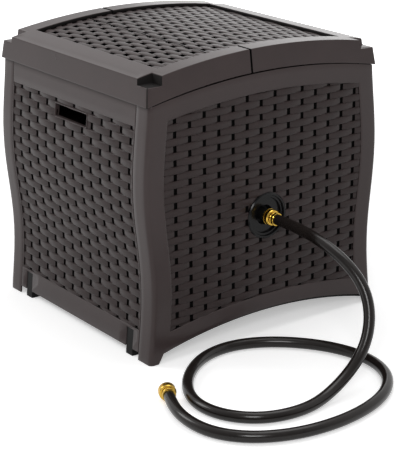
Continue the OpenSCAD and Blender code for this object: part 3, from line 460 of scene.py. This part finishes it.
def side_back(name, s):
    """The sheet behind the wicker, with a hole for the flange."""
    ys, zs = np.linspace(-236, 236, 60), np.linspace(56, 494, 56)
    verts = [(s * (HALF_W - BACK_DEPTH), y, z) for z in zs for y in ys]

    def keep(i, j):
        y, z = (ys[j] + ys[j + 1]) / 2, (zs[i] + zs[i + 1]) / 2
        return in_side_field(y, z, 4) and math.hypot(y, z - REEL_Z) > DISH_HOLE
    faces = grid_faces(len(zs), len(ys), keep, flip=(s > 0))
    make(name, *drop_unused(verts, faces), [RESIN])


for side, s in (("right", 1), ("left", -1)):
    side_frame(side + "_side_frame", s, [side + "_side_panel"])
    side_weave(side + "_side_wicker", s)
    side_back(side + "_side_back", s)

# ---------------------------------------------------------------- front and rear panels

FRONT_X = POST_X - 0.5              # half width of a front or rear panel
RIM = 4.0                           # its margin beside the wicker
FZ0, FZ1 = 59.0, LID_Z - 44.0       # lower and upper end of the wicker
RAIL_Z, FRONT_TOP = 15.0, LID_Z - LID_GAP      # lower and upper end of the panel
SLOT_W, SLOT_H, SLOT_Z = 112.0, 24.0, 423.0    # the hand slot
HAND_R = 2.0                                   # its corners
NOTCH_X, NOTCH_W, NOTCH_TOP = 187.5, 24.0, 54.0     # the notches for the tray's feet
THIN_ROUND = ((1.0, 0.0), (0.3, 0.3), (0.0, 1.0))   # the panel's rim: depth, distance from it
THIN_CHAMFER = ((1.6, 0.0), (0.9, 0.25), (0.3, 0.9), (0.0, FIELD + 0.4))   # distance, depth


def bowed_point(x, z, h, s):
    """A point on the front (s = -1) or rear (s = 1), h outwards from its outer face."""
    slope = slope_d(z)
    k = 1 / math.hypot(1, slope)
    return (x, s * (half_d(z) + h * k), z - h * k * slope)


def in_hand_slot(x, z, margin=0.0):
    return abs(x) < SLOT_W / 2 + margin and SLOT_Z - margin < z < SLOT_Z + SLOT_H + margin


def end_frame(name, s, stands_for):
    """The rim and rails of the front or rear panel, as points (place, depth) across and up."""
    field_x = FRONT_X - RIM
    rim = [(FRONT_X - along, depth) for depth, along in THIN_ROUND]
    rim += [(field_x + along, depth) for along, depth in THIN_CHAMFER]
    notch = [NOTCH_X - NOTCH_W / 2, NOTCH_X + NOTCH_W / 2]
    inner = [-x for x in notch[::-1]] + list(np.linspace(-150, 150, 9)) + notch
    xs = [(-x, depth) for x, depth in rim] + [(x, OPEN) for x in inner] + rim[::-1]
    zs = [(RAIL_Z + along, depth) for depth, along in THIN_ROUND] + [(36.0, 0.0), (NOTCH_TOP, 0.0)]
    zs += [(FZ0 - along, depth) for along, depth in THIN_CHAMFER]
    zs += [(z, OPEN) for z in np.linspace(FZ0, FZ1, 26)[1:-1]]
    zs += [(FZ1 + along, depth) for along, depth in THIN_CHAMFER[::-1]]
    zs += [(474.0, 0.0), (488.0, 0.0)]
    zs += [(FRONT_TOP - along, depth) for depth, along in THIN_ROUND[::-1]]
    verts = []
    for z, dz in zs:
        for x, dx in xs:
            at_side = abs(x) > FRONT_X - 1.5
            d = min(dz if FZ0 - 3 < z < FZ1 + 3 else 0.0, 0.0 if at_side else dx)
            if z < RAIL_Z + 2 or z > FRONT_TOP - 2:
                d = max(d, dz)
            if at_side:
                d = max(d, dx)
            verts.append(bowed_point(x, z, -d, s))

    def keep(i, j):
        x, z = (xs[j][0] + xs[j + 1][0]) / 2, (zs[i][0] + zs[i + 1][0]) / 2
        if abs(x) < field_x and FZ0 < z < FZ1:
            return False
        return not (abs(abs(x) - NOTCH_X) < NOTCH_W / 2 and z < NOTCH_TOP)
    faces = grid_faces(len(zs), len(xs), keep, flip=(s > 0))
    # The field's walls, the columns at the sides, beside the posts, and the top rows under the lid
    # get painted shade.
    index = []
    for f in faces:
        i, j = min(f) // len(xs), min(f) % len(xs)
        wall = zs[i][1] > FIELD or zs[i + 1][1] > FIELD
        if not all(abs(x) < field_x + 0.1 for x, _ in xs[j:j + 2]):
            wall = max(xs[j][1], xs[j + 1][1]) > FIELD and FZ0 - 0.1 < zs[i][0] < FZ1
        index.append(1 if wall or j in (0, len(xs) - 2) or i >= len(zs) - 3 else 0)
    make(name, *drop_unused(verts, faces), [RESIN, SHADE], index, solid=WALL,
         stands_for=stands_for)


def end_weave(name, s, slot):
    def inside(u, v):
        return (abs(u) < FRONT_X - RIM + END_UNDER and FZ0 - END_UNDER < v < FZ1 + END_UNDER
                and not (slot and in_hand_slot(u, v, 0.5)))
    ob = weave(name, first=(-190.0, 442.7), pitch=(32.7, 14.3), odd=1,
               place=lambda u, v, h: bowed_point(u, v, h, s), inside=inside,
               u_range=(-222, 222), v_range=(50, 470), **PANEL_DEPTHS)
    if s > 0:
        ob.data.flip_normals()


def end_back(name, s, slot):
    xs, zs = np.linspace(-216, 216, 49), np.linspace(56, FZ1 + 3, 54)
    verts = [bowed_point(x, z, -BACK_DEPTH, s) for z in zs for x in xs]

    def keep(i, j):
        return not (slot and in_hand_slot((xs[j] + xs[j + 1]) / 2, (zs[i] + zs[i + 1]) / 2))
    faces = grid_faces(len(zs), len(xs), keep, flip=(s < 0))
    make(name, *drop_unused(verts, faces), [RESIN])


def slot_lip(name):
    """The smooth lip round the hand slot, from just above the wicker to the panel's back."""
    w, h, mid_z = SLOT_W / 2, SLOT_H / 2, SLOT_Z + SLOT_H / 2
    loops = []
    for grow, depth in ((2.6, -4.6), (2.4, -1.2), (1.6, -0.5), (0.8, -0.6), (0.1, -1.4),
                        (0.0, -3.0), (0.0, -10.0), (2.6, -10.0)):
        loop = []
        for cx, cz, quarter in ((w, h, 0), (-w, h, 90), (-w, -h, 180), (w, -h, 270)):
            for a in (0, 30, 60, 90):
                t = math.radians(quarter + a)
                x = math.copysign(abs(cx) - HAND_R, cx) + (HAND_R + grow) * math.cos(t)
                z = math.copysign(abs(cz) - HAND_R, cz) + (HAND_R + grow) * math.sin(t)
                loop.append(bowed_point(x, mid_z + z, depth, -1))
        loops.append(loop)
    make(name, *ring_faces(loops), [RESIN])


end_frame("front_frame", -1, ["front_panel"])
end_weave("front_wicker", -1, True)
end_back("front_back", -1, True)
slot_lip("hand_slot_lip")
end_frame("rear_frame", 1, ["rear_panel"])
end_weave("rear_wicker", 1, False)
end_back("rear_back", 1, False)

LEG_HALF, LEG_BACK = 11.1, 239.0    # half width of a foot, and how far back it reaches
LEG_SET = 1.2                       # how far its face lies behind the panel's


def leg_face(name, sx, s):
    """The black foot that fills a notch of the bottom rail, just behind the panel's face."""
    loops = []
    for z, grow in ((0.0, -0.8), (0.5, -0.25), (1.5, 0.0), (10.0, 0.0), (20.0, 0.0), (30.0, 0.0),
                    (40.0, 0.0), (50.0, 0.0), (NOTCH_TOP - 0.6, 0.0)):
        w, front, back = LEG_HALF + grow, half_d(z) - LEG_SET + grow, LEG_BACK - grow
        loops.append([(sx * NOTCH_X + x, s * y, z)
                      for x, y in ((-w, back), (-w, front - 1), (-w + 1, front), (w - 1, front),
                                   (w, front - 1), (w, back))])
    ob = make(name, *ring_faces(loops, ends="capped"), [BLACK], slot="black_resin")
    if s > 0:
        ob.data.flip_normals()


for end, s in (("front", -1), ("rear", 1)):
    for side, sx in (("right", 1), ("left", -1)):
        leg_face(f"{end}_{side}_leg_face", sx, s)

# ---------------------------------------------------------------- lid

DRAFT, DRAFT_Y = 0.13, 150.0        # lean of the skirt; the ends lean beyond this distance only
NOTCH, NOTCH_H = 33.0, 14.0         # the square step in each corner, and how far down it lies
LX, LY = HALF_W - 0.5, BOX_D / 2    # half width and depth at the lower edge
LID_CORNER, FIELD_CORNER = 3.5, 8.0           # round of the corners, length of the field's ones
LFX, LFY, LDEEP = 213.0, 218.0, 9.0           # half size and depth of the wicker's field
FRONT_SEAM, REAR_SEAM = -35.0, -33.0          # where the borders of the two halves end
FRONT_LIP = (0.35, 1.2, 2.6, 4.6, 6.6, 8.6)   # points of the front border's end, round the hinge
REAR_LIP = (0.4, 1.4)
SIDE_STEPS, ACROSS_STEPS = 26, 28             # points along a side, and across the end
CORNER_STEPS, ARC_STEPS = 4, 6                # points beside a round corner, and in its arc
CORNER_POINTS = 2 * CORNER_STEPS + ARC_STEPS
HINGE_Y, HINGE_Z, HINGE_R = -42.7, 568.92, 7.2    # the hinge's axis and the round on it
LIP_R = HINGE_R + 0.5
NOTCH_Z = lid_top_z(LY - NOTCH / 2) - NOTCH_H


def crown(y, front):
    """Height of the lid's top; the front half ends in a round lip about the hinge's axis."""
    z = lid_top_z(y)
    if front and y > HINGE_Y:
        z = min(z, HINGE_Z + math.sqrt(max(0.0, LIP_R ** 2 - (y - HINGE_Y) ** 2)))
    return z


def mitre(line, d):
    """Moves an open polyline to its left by d, in plan."""
    out = []
    for i, (x, y) in enumerate(line):
        normals = []
        for a, b in ((i - 1, i), (i, i + 1)):
            if 0 <= a and b < len(line):
                ex, ey = line[b][0] - line[a][0], line[b][1] - line[a][1]
                length = math.hypot(ex, ey)
                if length > 1e-9:
                    normals.append((-ey / length, ex / length))
        nx, ny = sum(q[0] for q in normals), sum(q[1] for q in normals)
        length = math.hypot(nx, ny)
        nx, ny = nx / length, ny / length
        c = max(0.5, nx * normals[0][0] + ny * normals[0][1])
        out.append((x + d * nx / c, y + d * ny / c))
    return out


def between(a, b, n):
    """The n points of n equal steps from a to b; a itself is left out."""
    return [(a[0] + (b[0] - a[0]) * q / n, a[1] + (b[1] - a[1]) * q / n) for q in range(1, n + 1)]


def lid_outline(kind, front, inset):
    """A ring of half the lid in plan, from the seam on the right, round the end, to the seam on
    the left. It is full, or steps round the notches, or goes round the field."""
    s = -1 if front else 1
    hx, hy, corner = (LFX, LFY, FIELD_CORNER) if kind == "field" else (LX, LY, NOTCH)
    seam, lip = (FRONT_SEAM, FRONT_LIP) if front else (REAR_SEAM, REAR_LIP)
    start, end = (hx, s * (hy - corner)), (hx - corner, s * hy)
    right = [(hx, seam)] + [(hx, seam + s * d) for d in lip]
    right += between(right[-1], start, SIDE_STEPS)
    if kind == "full":
        right += between(start, (hx, s * (hy - LID_CORNER)), CORNER_STEPS)[:-1]
        for i in range(ARC_STEPS + 1):
            t = math.radians(90 * i / ARC_STEPS)
            right.append((hx - LID_CORNER + LID_CORNER * math.cos(t),
                          s * (hy - LID_CORNER + LID_CORNER * math.sin(t))))
        right += between((hx - LID_CORNER, s * hy), end, CORNER_STEPS)
    else:
        tip = (hx, s * hy) if kind == "field" else (hx - corner, s * (hy - corner))
        right += between(start, tip, CORNER_POINTS // 2) + between(tip, end, CORNER_POINTS // 2)
    across = between(end, (-end[0], end[1]), ACROSS_STEPS)[:-1]
    return mitre(right + across + [(-x, y) for x, y in right[::-1]], s * inset)


def lean_in(x, y, z):
    """A point of the lid, moved in by the draft of the skirt."""
    k = DRAFT * (z - LID_Z)
    return (x - math.copysign(min(k, abs(x)), x) * (abs(x) / LX),
            y - (k * y / LY if abs(y) > DRAFT_Y else 0.0), z)


def lid_half(name, front, body, stands_for):
    """The skirt, the notches and the border of half the lid, as rings from its lower edge up to
    the border's top and down into the field of the wicker."""
    n = len(lid_outline("full", front, 0.0))
    n_side = 1 + len(FRONT_LIP if front else REAR_LIP) + SIDE_STEPS
    rings = []

    def on_corner(i):
        return n_side <= min(i, n - 1 - i) < n_side + CORNER_POINTS - 1

    def low(y):
        """Height of the skirt's lower edge."""
        return SIDE_TOP - rise(EDGE_R, min(abs(y), LY))

    def top(y):
        return crown(y, front)

    def ledge(i, y):
        """Height of the notch's floor, or of the skirt's upper edge beside it."""
        if on_corner(i) or abs(y) > LY - NOTCH - 0.01:
            return NOTCH_Z
        return min(top(y) - 1.5, lid_top_z(y) - (lid_top_z(LY - NOTCH) - NOTCH_Z))

    def add(kind, inset, height, corners_only=False):
        """Adds a ring at height(i, y), with the inset all round or in its corners only."""
        ring = []
        for i, ((x, y), (x0, y0)) in enumerate(zip(lid_outline(kind, front, inset),
                                                   lid_outline(kind, front, 0.0))):
            z = height(i, y0)
            if abs(y) > DRAFT_Y:
                z = height(i, y0 - DRAFT * (z - LID_Z) * y / LY)
            if corners_only and not on_corner(i):
                x, y = x0, y0
            ring.append(lean_in(x, y, z))
        rings.append(ring)

    # The skirt, from its lower edge up to the floor of the notches.
    add("full", 0.7, lambda i, y: low(y) - 0.4)
    add("full", 0.2, lambda i, y: low(y) - 0.2)
    add("full", 0.0, lambda i, y: low(y) + 0.3)
    for q in (0.05, 0.5, 0.95):
        add("full", 0.0, lambda i, y: low(y) + 0.3 + q * (ledge(i, y) - 1.5 - low(y)))
    add("full", 0.0, lambda i, y: ledge(i, y) - 1.2)
    add("full", 0.35, lambda i, y: ledge(i, y) - 0.35, corners_only=True)
    floor_ring = len(rings)
    add("full", 1.2, ledge, corners_only=True)
    # The walls of the notches, and the rounded outer edge of the border.
    wall_ring = len(rings)
    add("notch", 0.0, lambda i, y: ledge(i, y) + (0.02 if on_corner(i) else 0.4))
    add("notch", 0.0, lambda i, y: ledge(i, y) + (0.5 * (top(y) - 3.0 - ledge(i, y))
                                                  if top(y) - 3.0 > ledge(i, y) else 0.6))
    for inset, down, least in ((0.0, 3.0, 0.8), (0.0, 1.0, 1.0), (0.25, 0.3, 1.2)):
        add("notch", inset, lambda i, y: max(top(y) - down, ledge(i, y) + least))
    add("notch", 0.9, lambda i, y: top(y))
    add("notch", 2.2, lambda i, y: top(y))

    # The border, and its edge down into the field.
    outer, inner = rings[-1], lid_outline("field", front, -2.4)
    for q in (0.25, 0.5, 0.75):
        plan = [(x + (fx - x) * q, y + (fy - y) * q) for (x, y, _), (fx, fy) in zip(outer, inner)]
        rings.append([(x, y, top(y)) for x, y in plan])
    for out, down in ((2.4, 0.0), (1.2, 0.0), (0.6, 0.2), (0.15, 0.9), (0.0, LDEEP + 0.4)):
        rings.append([(x, y, top(y) - down) for x, y in lid_outline("field", front, -out)])

    faces = grid_faces(len(rings), n, flip=front)
    mid = n_side + CORNER_POINTS // 2 - 1
    index = []
    for f in faces:
        i, j = min(f) // n, min(f) % n
        # The notch at the front right, which faces the camera, gets painted shade; the others
        # aren't painted. The lowest ring, at the joint, and the wall down into the field get
        # painted shade too, the ends at the seam near-black painted shadow, and a strip down each
        # round corner of the skirt a darker tone of painted shade.
        in_notch = (front and floor_ring <= i < wall_ring + 3
                    and n_side - 1 <= j < n_side + CORNER_POINTS - 1)
        at_seam = j in (0, 1, n - 3, n - 2)
        corner_shade = i < floor_ring and min(abs(j - mid), abs(j - (n - 2 - mid))) < 2
        shaded = in_notch or i in (0, len(rings) - 2)
        index.append(3 if at_seam else 1 if shaded else 2 if corner_shade else 0)
    verts = [p for ring in rings for p in ring]
    make(name, verts, faces, [RESIN, SHADE, CORNER_SHADE, PAINTED_SHADOW], index, body=body, solid=WALL,
         stands_for=stands_for)


WEAVE_SEAM, WEAVE_GAP = -92.0, 0.6  # where the two halves of the wicker meet, and their gap there
WEAVE_OVER = 2.5                    # how far the wicker reaches under the border
LID_SLOT_HALF, LID_BACK = 7.6, 13.4           # half the width of its slots; the sheet's depth


def lid_weave(name, body, front):
    """The wicker of half the lid. That of the rear half goes on between the sides of the front
    half's border, up to the seam in the weave."""
    def inside(u, v):
        if front:
            return abs(u) < LFX + WEAVE_OVER and -LFY - WEAVE_OVER < v < WEAVE_SEAM - WEAVE_GAP
        if v < REAR_SEAM + 0.5:
            return abs(u) < LFX - 1.2 and v > WEAVE_SEAM + WEAVE_GAP
        return abs(u) < LFX + WEAVE_OVER and v < LFY + WEAVE_OVER
    weave(name, first=(-21.8, -204.8), pitch=(32.0, 12.3), odd=0,
          place=lambda u, v, h: (u, v, lid_top_z(v) + h), inside=inside,
          u_range=(-LFX - 4, LFX + 4), v_range=(-LFY - 3, LFY + 3), slot_half=LID_SLOT_HALF,
          body=body, **LID_DEPTHS)


def lid_back(name, body, front):
    """The sheet behind the wicker of half the lid."""
    xs = np.linspace(-LFX - 2, LFX + 2, 43)
    ys = (np.linspace(-LFY - 2, WEAVE_SEAM - WEAVE_GAP, 20) if front
          else np.linspace(WEAVE_SEAM + WEAVE_GAP, LFY + 2, 44))
    verts = [(x, y, lid_top_z(y) - LID_BACK) for y in ys for x in xs]

    def keep(i, j):
        return front or ys[i] > REAR_SEAM or max(abs(xs[j]), abs(xs[j + 1])) < LFX - 1
    faces = grid_faces(len(ys), len(xs), keep, flip=True)
    make(name, *drop_unused(verts, faces), [RESIN], body=body)


for half, body, front in (("front_lid", "lid", True), ("rear_lid", "cabinet", False)):
    lid_half(half + "_frame", front, body, [half])
    lid_weave(half + "_wicker", body, front)
    lid_back(half + "_back", body, front)

# ---------------------------------------------------------------- leader hose

HOSE_X, HOSE_D = 294.0, 21.5        # where the hose leaves the inlet's coupling; its diameter
HOSE_SIDES, HOSE_STEPS = 32, 10     # its sides, and its points for each step of ROUTE
TAP_TURN, TAP_Z = math.radians(155), 16.5     # heading and height of its free end
ROUTE = [(294, 0, 244), (365, 0, 244), (435, 0, 235), (500, 15, 200), (540, 20, 150), (565, -5, 88),
         (570, -50, 40), (580, -120, 11), (595, -185, 11), (580, -260, 11), (525, -310, 11),
         (455, -320, 11), (390, -290, 11), (340, -245, 11), (300, -185, 11), (290, -115, 11),
         (315, -50, 11), (365, 5, 11), (420, 40, 11), (490, 60, 11), (565, 45, 11), (620, -5, 11),
         (650, -65, 11), (665, -135, 11), (665, -205, 11), (650, -270, 11), (615, -330, 11),
         (555, -370, 11), (478, -374, TAP_Z), (414, -344, TAP_Z)]


def spline_points(per):
    """Points of the cubic B-spline that ROUTE controls, per of them for each of its steps."""
    P = [np.array(p, float) for p in ROUTE]
    P = [2 * P[0] - P[1]] + P + [2 * P[-1] - P[-2]]
    out = []
    for i in range(1, len(P) - 2):
        for k in range(per):
            t = k / per
            out.append(((1 - t) ** 3 * P[i - 1] + (3 * t ** 3 - 6 * t ** 2 + 4) * P[i]
                        + (3 * t ** 2 - 3 * t ** 3 + 3 * t + 1) * P[i + 1] + t ** 3 * P[i + 2]) / 6)
    out.append(P[-2])
    return out


def tube_loops(pts, radius, sides, start, end):
    """Circles round the points of a line, whose end directions are given."""
    loops = []
    for i, p in enumerate(pts):
        way = start if i == 0 else end if i == len(pts) - 1 else pts[i + 1] - pts[i - 1]
        way = np.array(way, float) / np.linalg.norm(way)
        side = np.cross((0, 0, 1), way)
        side /= np.linalg.norm(side)
        up = np.cross(way, side)
        angles = [2 * math.pi * k / sides for k in range(sides)]
        loops.append([tuple(p + radius * (math.cos(a) * side + math.sin(a) * up)) for a in angles])
    return loops


hose_points = spline_points(HOSE_STEPS)
tap_way = np.array([math.cos(TAP_TURN), math.sin(TAP_TURN), 0.0])
hose_loops = tube_loops(hose_points, HOSE_D / 2, HOSE_SIDES, (1, 0, 0), tap_way)
hose = make("leader_hose_tube", *ring_faces(hose_loops, ends="capped"), [HOSE], slot="hose",
            stands_for=["leader_hose"])

# ---------------------------------------------------------------- brass couplings

THREAD_R, THREAD_PITCH = 13.3, 1.1  # the 3/4 in hose thread
NUT_R, NUT_LEN, NUT_BACK = 16.3, 14.1, 2.4    # the nut, and the thickness of its back
FERRULE, FERRULE_R = 11.5, 12.75    # the tail's ferrule
COLLAR, WASHER = 2.0, 2.8           # thickness of the tail's collar in the nut, and of the washer
HOSE_HOLE = HOSE_D / 2 + 0.08       # radius of the hole in the nut's back
NUT_Z = FERRULE + 0.4
COLLAR_Z = NUT_Z + NUT_BACK + 0.3
SEAT = COLLAR_Z + COLLAR + WASHER   # where the thread ends
KNURL_R, KNURL_H = 15.5, 0.3        # a knurl is on what lies beyond KNURL_R
NUT_SIDES, TAIL_SIDES = 72, 64      # a knurl has a ridge on every second side


def turned(name, profile, sides, origin, way, body, stands_for, knurl=None, angle=30):
    """A turned piece: profile is a list of (radius, distance along way), closed into a ring, and
    knurl the stretch of it that is knurled."""
    way = Vector(way).normalized()
    side = Vector((0, 0, 1)).cross(way).normalized()
    up = way.cross(side)
    loops = []
    for k in range(sides):
        a, loop = 2 * math.pi * k / sides, []
        for r, t in profile:
            if knurl and knurl[0] <= t <= knurl[1] and r > KNURL_R:
                r += KNURL_H * (1 if k % 2 else -1)
            loop.append(tuple(Vector(origin) + way * t + side * (r * math.cos(a))
                              + up * (r * math.sin(a))))
        loops.append(loop)
    return make(name, *ring_faces(loops, ends="joined"), [BRASS], body=body, slot="brass",
                stands_for=stands_for, angle=angle)


def coupling(prefix, origin, way, body, knurled):
    """A swivel nut, which rides on body, and the tail behind it, which stays with the cabinet."""
    z0, z1 = NUT_Z, NUT_Z + NUT_LEN
    outer = [(HOSE_HOLE, z0), (13.2, z0), (14.6, z0 + 0.5), (15.4, z0 + 1.6),
             (NUT_R - 0.35, z0 + 2.6), (NUT_R - 0.35, z0 + 3.0), (NUT_R - 0.35, z1 - 4.4),
             (15.0, z1 - 4.0), (15.0, z1 - 3.0), (NUT_R - 0.1, z1 - 2.6), (NUT_R, z1 - 1.6),
             (NUT_R - 0.2, z1 - 0.5), (15.6, z1)]
    bore = [(13.9, z1)]
    t = z1 - 0.8
    while t > SEAT + 0.4:
        bore += [(THREAD_R + 0.45, t), (THREAD_R + 1.1, t - THREAD_PITCH / 2)]
        t -= THREAD_PITCH
    bore += [(THREAD_R + 0.8, SEAT), (THREAD_R + 0.8, z0 + NUT_BACK), (HOSE_HOLE, z0 + NUT_BACK)]
    nut = turned(prefix + "_nut_turned", (outer + bore)[::-1], NUT_SIDES, origin, way, body,
                 [prefix + "_nut"], knurl=(z0 + 2.8, z1 - 4.3) if knurled else None,
                 angle=25 if knurled else 30)
    f = FERRULE
    tail = [(6.5, -0.02), (12.2, -0.02), (FERRULE_R, 0.6), (FERRULE_R, 1.6), (12.1, 2.1),
            (11.7, 3.4), (11.7, f - 4.6), (12.1, f - 3.6), (FERRULE_R, f - 3.0),
            (FERRULE_R, f - 0.7), (12.2, f), (HOSE_D / 2 - 0.1, f), (HOSE_D / 2 - 0.1, COLLAR_Z),
            (THREAD_R - 0.7, COLLAR_Z), (THREAD_R - 0.7, COLLAR_Z + COLLAR),
            (6.5, COLLAR_Z + COLLAR)]
    end = turned(prefix + "_tail_turned", tail[::-1], TAIL_SIDES, origin, way, "cabinet",
                 [prefix + "_tail"])
    return nut, end


coupling("inlet", (HOSE_X, 0, REEL_Z), (-1, 0, 0), "inlet_swivel", True)
tap_pieces = coupling("tap", ROUTE[-1], tuple(tap_way), "tap_swivel", False)

# ---------------------------------------------------------------- carried-over CAD nodes

FINISH = {
    BLACK: ["base_tray", "inlet_lock_ring", "crank_lock_ring", "reel_flange_right",
            "reel_flange_left", "drum_front", "drum_rear", "outlet_elbow", "outlet_fitting",
            "inlet_tube"],
    GLOSS: ["inlet_flange", "crank_flange", "crank_arm", "crank_knob"],
    ACETAL: ["right_bush", "left_bush", "water_hub"],
    STEEL: ["hinge_pins", "panel_screws", "base_screws", "lid_screws", "inlet_clip",
            "reel_screws", "crank_shaft", "crank_screw", "knob_pin", "knob_washer"],
    RUBBER: ["inlet_o_rings", "inlet_washer", "tap_washer"],
}
for mat, names in FINISH.items():
    for n in names:
        NODES[n].data.materials.clear()
        NODES[n].data.materials.append(mat)

# ---------------------------------------------------------------- floor, world and lights

FLOOR_Z, FLOOR_HALF = -0.0004, 9.0            # metres; just under the feet
FLOOR_LIT, FLOOR_SHOWN = 0.3, 0.9             # its reflectance for bounced light, and as shown
GLOW_NEAR, GLOW_FAR = 0.8, 2.2                # metres; between them its glow rises to white
FLOOR_GLOW, SKY = 0.42, 0.5                   # glow near the object, strength of the sky's light
DARK_SIDE, DARK_SKY = (0.8, -0.6, 0.0), 0.42  # where the sky is less bright, and how bright
DARK_FROM, DARK_TO = -0.1, 0.7                # cosines to that direction, where it begins and ends


def background_rays(nt):
    """1 for rays that show the background: from the camera, mirrored, or through glass."""
    path = nt.nodes.new("ShaderNodeLightPath")
    total = path.outputs["Is Camera Ray"]
    for kind in ("Is Glossy Ray", "Is Transmission Ray"):
        plus = node(nt, "ShaderNodeMath", operation="ADD")
        nt.links.new(total, plus.inputs[0])
        nt.links.new(path.outputs[kind], plus.inputs[1])
        total = plus.outputs[0]
    return total


def stage_floor():
    """A pale floor, which keeps the shadow near the object and is white further away."""
    me = bpy.data.meshes.new("floor")
    h = FLOOR_HALF
    me.from_pydata([(x, y, FLOOR_Z) for x, y in ((-h, -h), (h, -h), (h, h), (-h, h))], [],
                   [(0, 1, 2, 3)])
    mat = bpy.data.materials.new("floor_white")
    mat.use_nodes = True
    nt = mat.node_tree
    link = nt.links.new
    nt.nodes.clear()
    shown = background_rays(nt)
    diffuse = nt.nodes.new("ShaderNodeBsdfDiffuse")
    link(map_range(nt, shown, 0.0, 1.0, FLOOR_LIT, FLOOR_SHOWN), diffuse.inputs["Color"])
    away = node(nt, "ShaderNodeVectorMath", operation="LENGTH")
    link(nt.nodes.new("ShaderNodeTexCoord").outputs["Object"], away.inputs[0])
    glow = nt.nodes.new("ShaderNodeEmission")
    power = node(nt, "ShaderNodeMath", operation="MULTIPLY")
    link(shown, power.inputs[0])
    link(map_range(nt, away.outputs["Value"], GLOW_NEAR, GLOW_FAR, FLOOR_GLOW, 1.0),
         power.inputs[1])
    link(power.outputs[0], glow.inputs["Strength"])
    both = nt.nodes.new("ShaderNodeAddShader")
    link(diffuse.outputs[0], both.inputs[0])
    link(glow.outputs[0], both.inputs[1])
    link(both.outputs[0], nt.nodes.new("ShaderNodeOutputMaterial").inputs["Surface"])
    me.materials.append(mat)
    ob = bpy.data.objects.new("floor", me)
    bpy.context.scene.collection.objects.link(ob)


def light_world():
    """An even sky, less bright on the side that the inlet and the front face."""
    world = bpy.data.worlds.new("studio")
    bpy.context.scene.world = world
    world.use_nodes = True
    nt = world.node_tree
    bg = nt.nodes["Background"]
    facing = node(nt, "ShaderNodeVectorMath", operation="DOT_PRODUCT")
    facing.inputs[1].default_value = DARK_SIDE
    nt.links.new(nt.nodes.new("ShaderNodeTexCoord").outputs["Generated"], facing.inputs[0])
    shade = node(nt, "ShaderNodeCombineColor")
    for channel in shade.inputs:
        nt.links.new(map_range(nt, facing.outputs["Value"], DARK_FROM, DARK_TO, 1.0, DARK_SKY),
                     channel)
    nt.links.new(shade.outputs[0], bg.inputs["Color"])
    nt.links.new(map_range(nt, background_rays(nt), 0.0, 1.0, SKY, 1.0), bg.inputs["Strength"])


def lamp(name, where, at, size, power):
    """A square lamp at a place, in metres, that faces a point."""
    data = bpy.data.lights.new(name, "AREA")
    data.energy = power
    data.shape = "RECTANGLE"
    data.size, data.size_y = size, size
    ob = bpy.data.objects.new(name, data)
    ob.location = where
    ob.rotation_euler = (Vector(at) - Vector(where)).to_track_quat("-Z", "Y").to_euler()
    bpy.context.scene.collection.objects.link(ob)


stage_floor()
light_world()
lamp("key", (-1.7, -1.8, 2.0), (0, 0, 0.25), 1.2, 26)
lamp("side", (2.2, -1.6, 1.7), (0, 0, 0.35), 0.9, 29)
lamp("top", (0.2, 0.4, 2.3), (0.1, 0, 0.3), 1.4, 14)
lamp("rear", (-2.3, 2.2, 0.95), (0, 0, 0.55), 1.2, 4)
bpy.context.scene.view_settings.view_transform = "Standard"

bpy.context.view_layer.update()
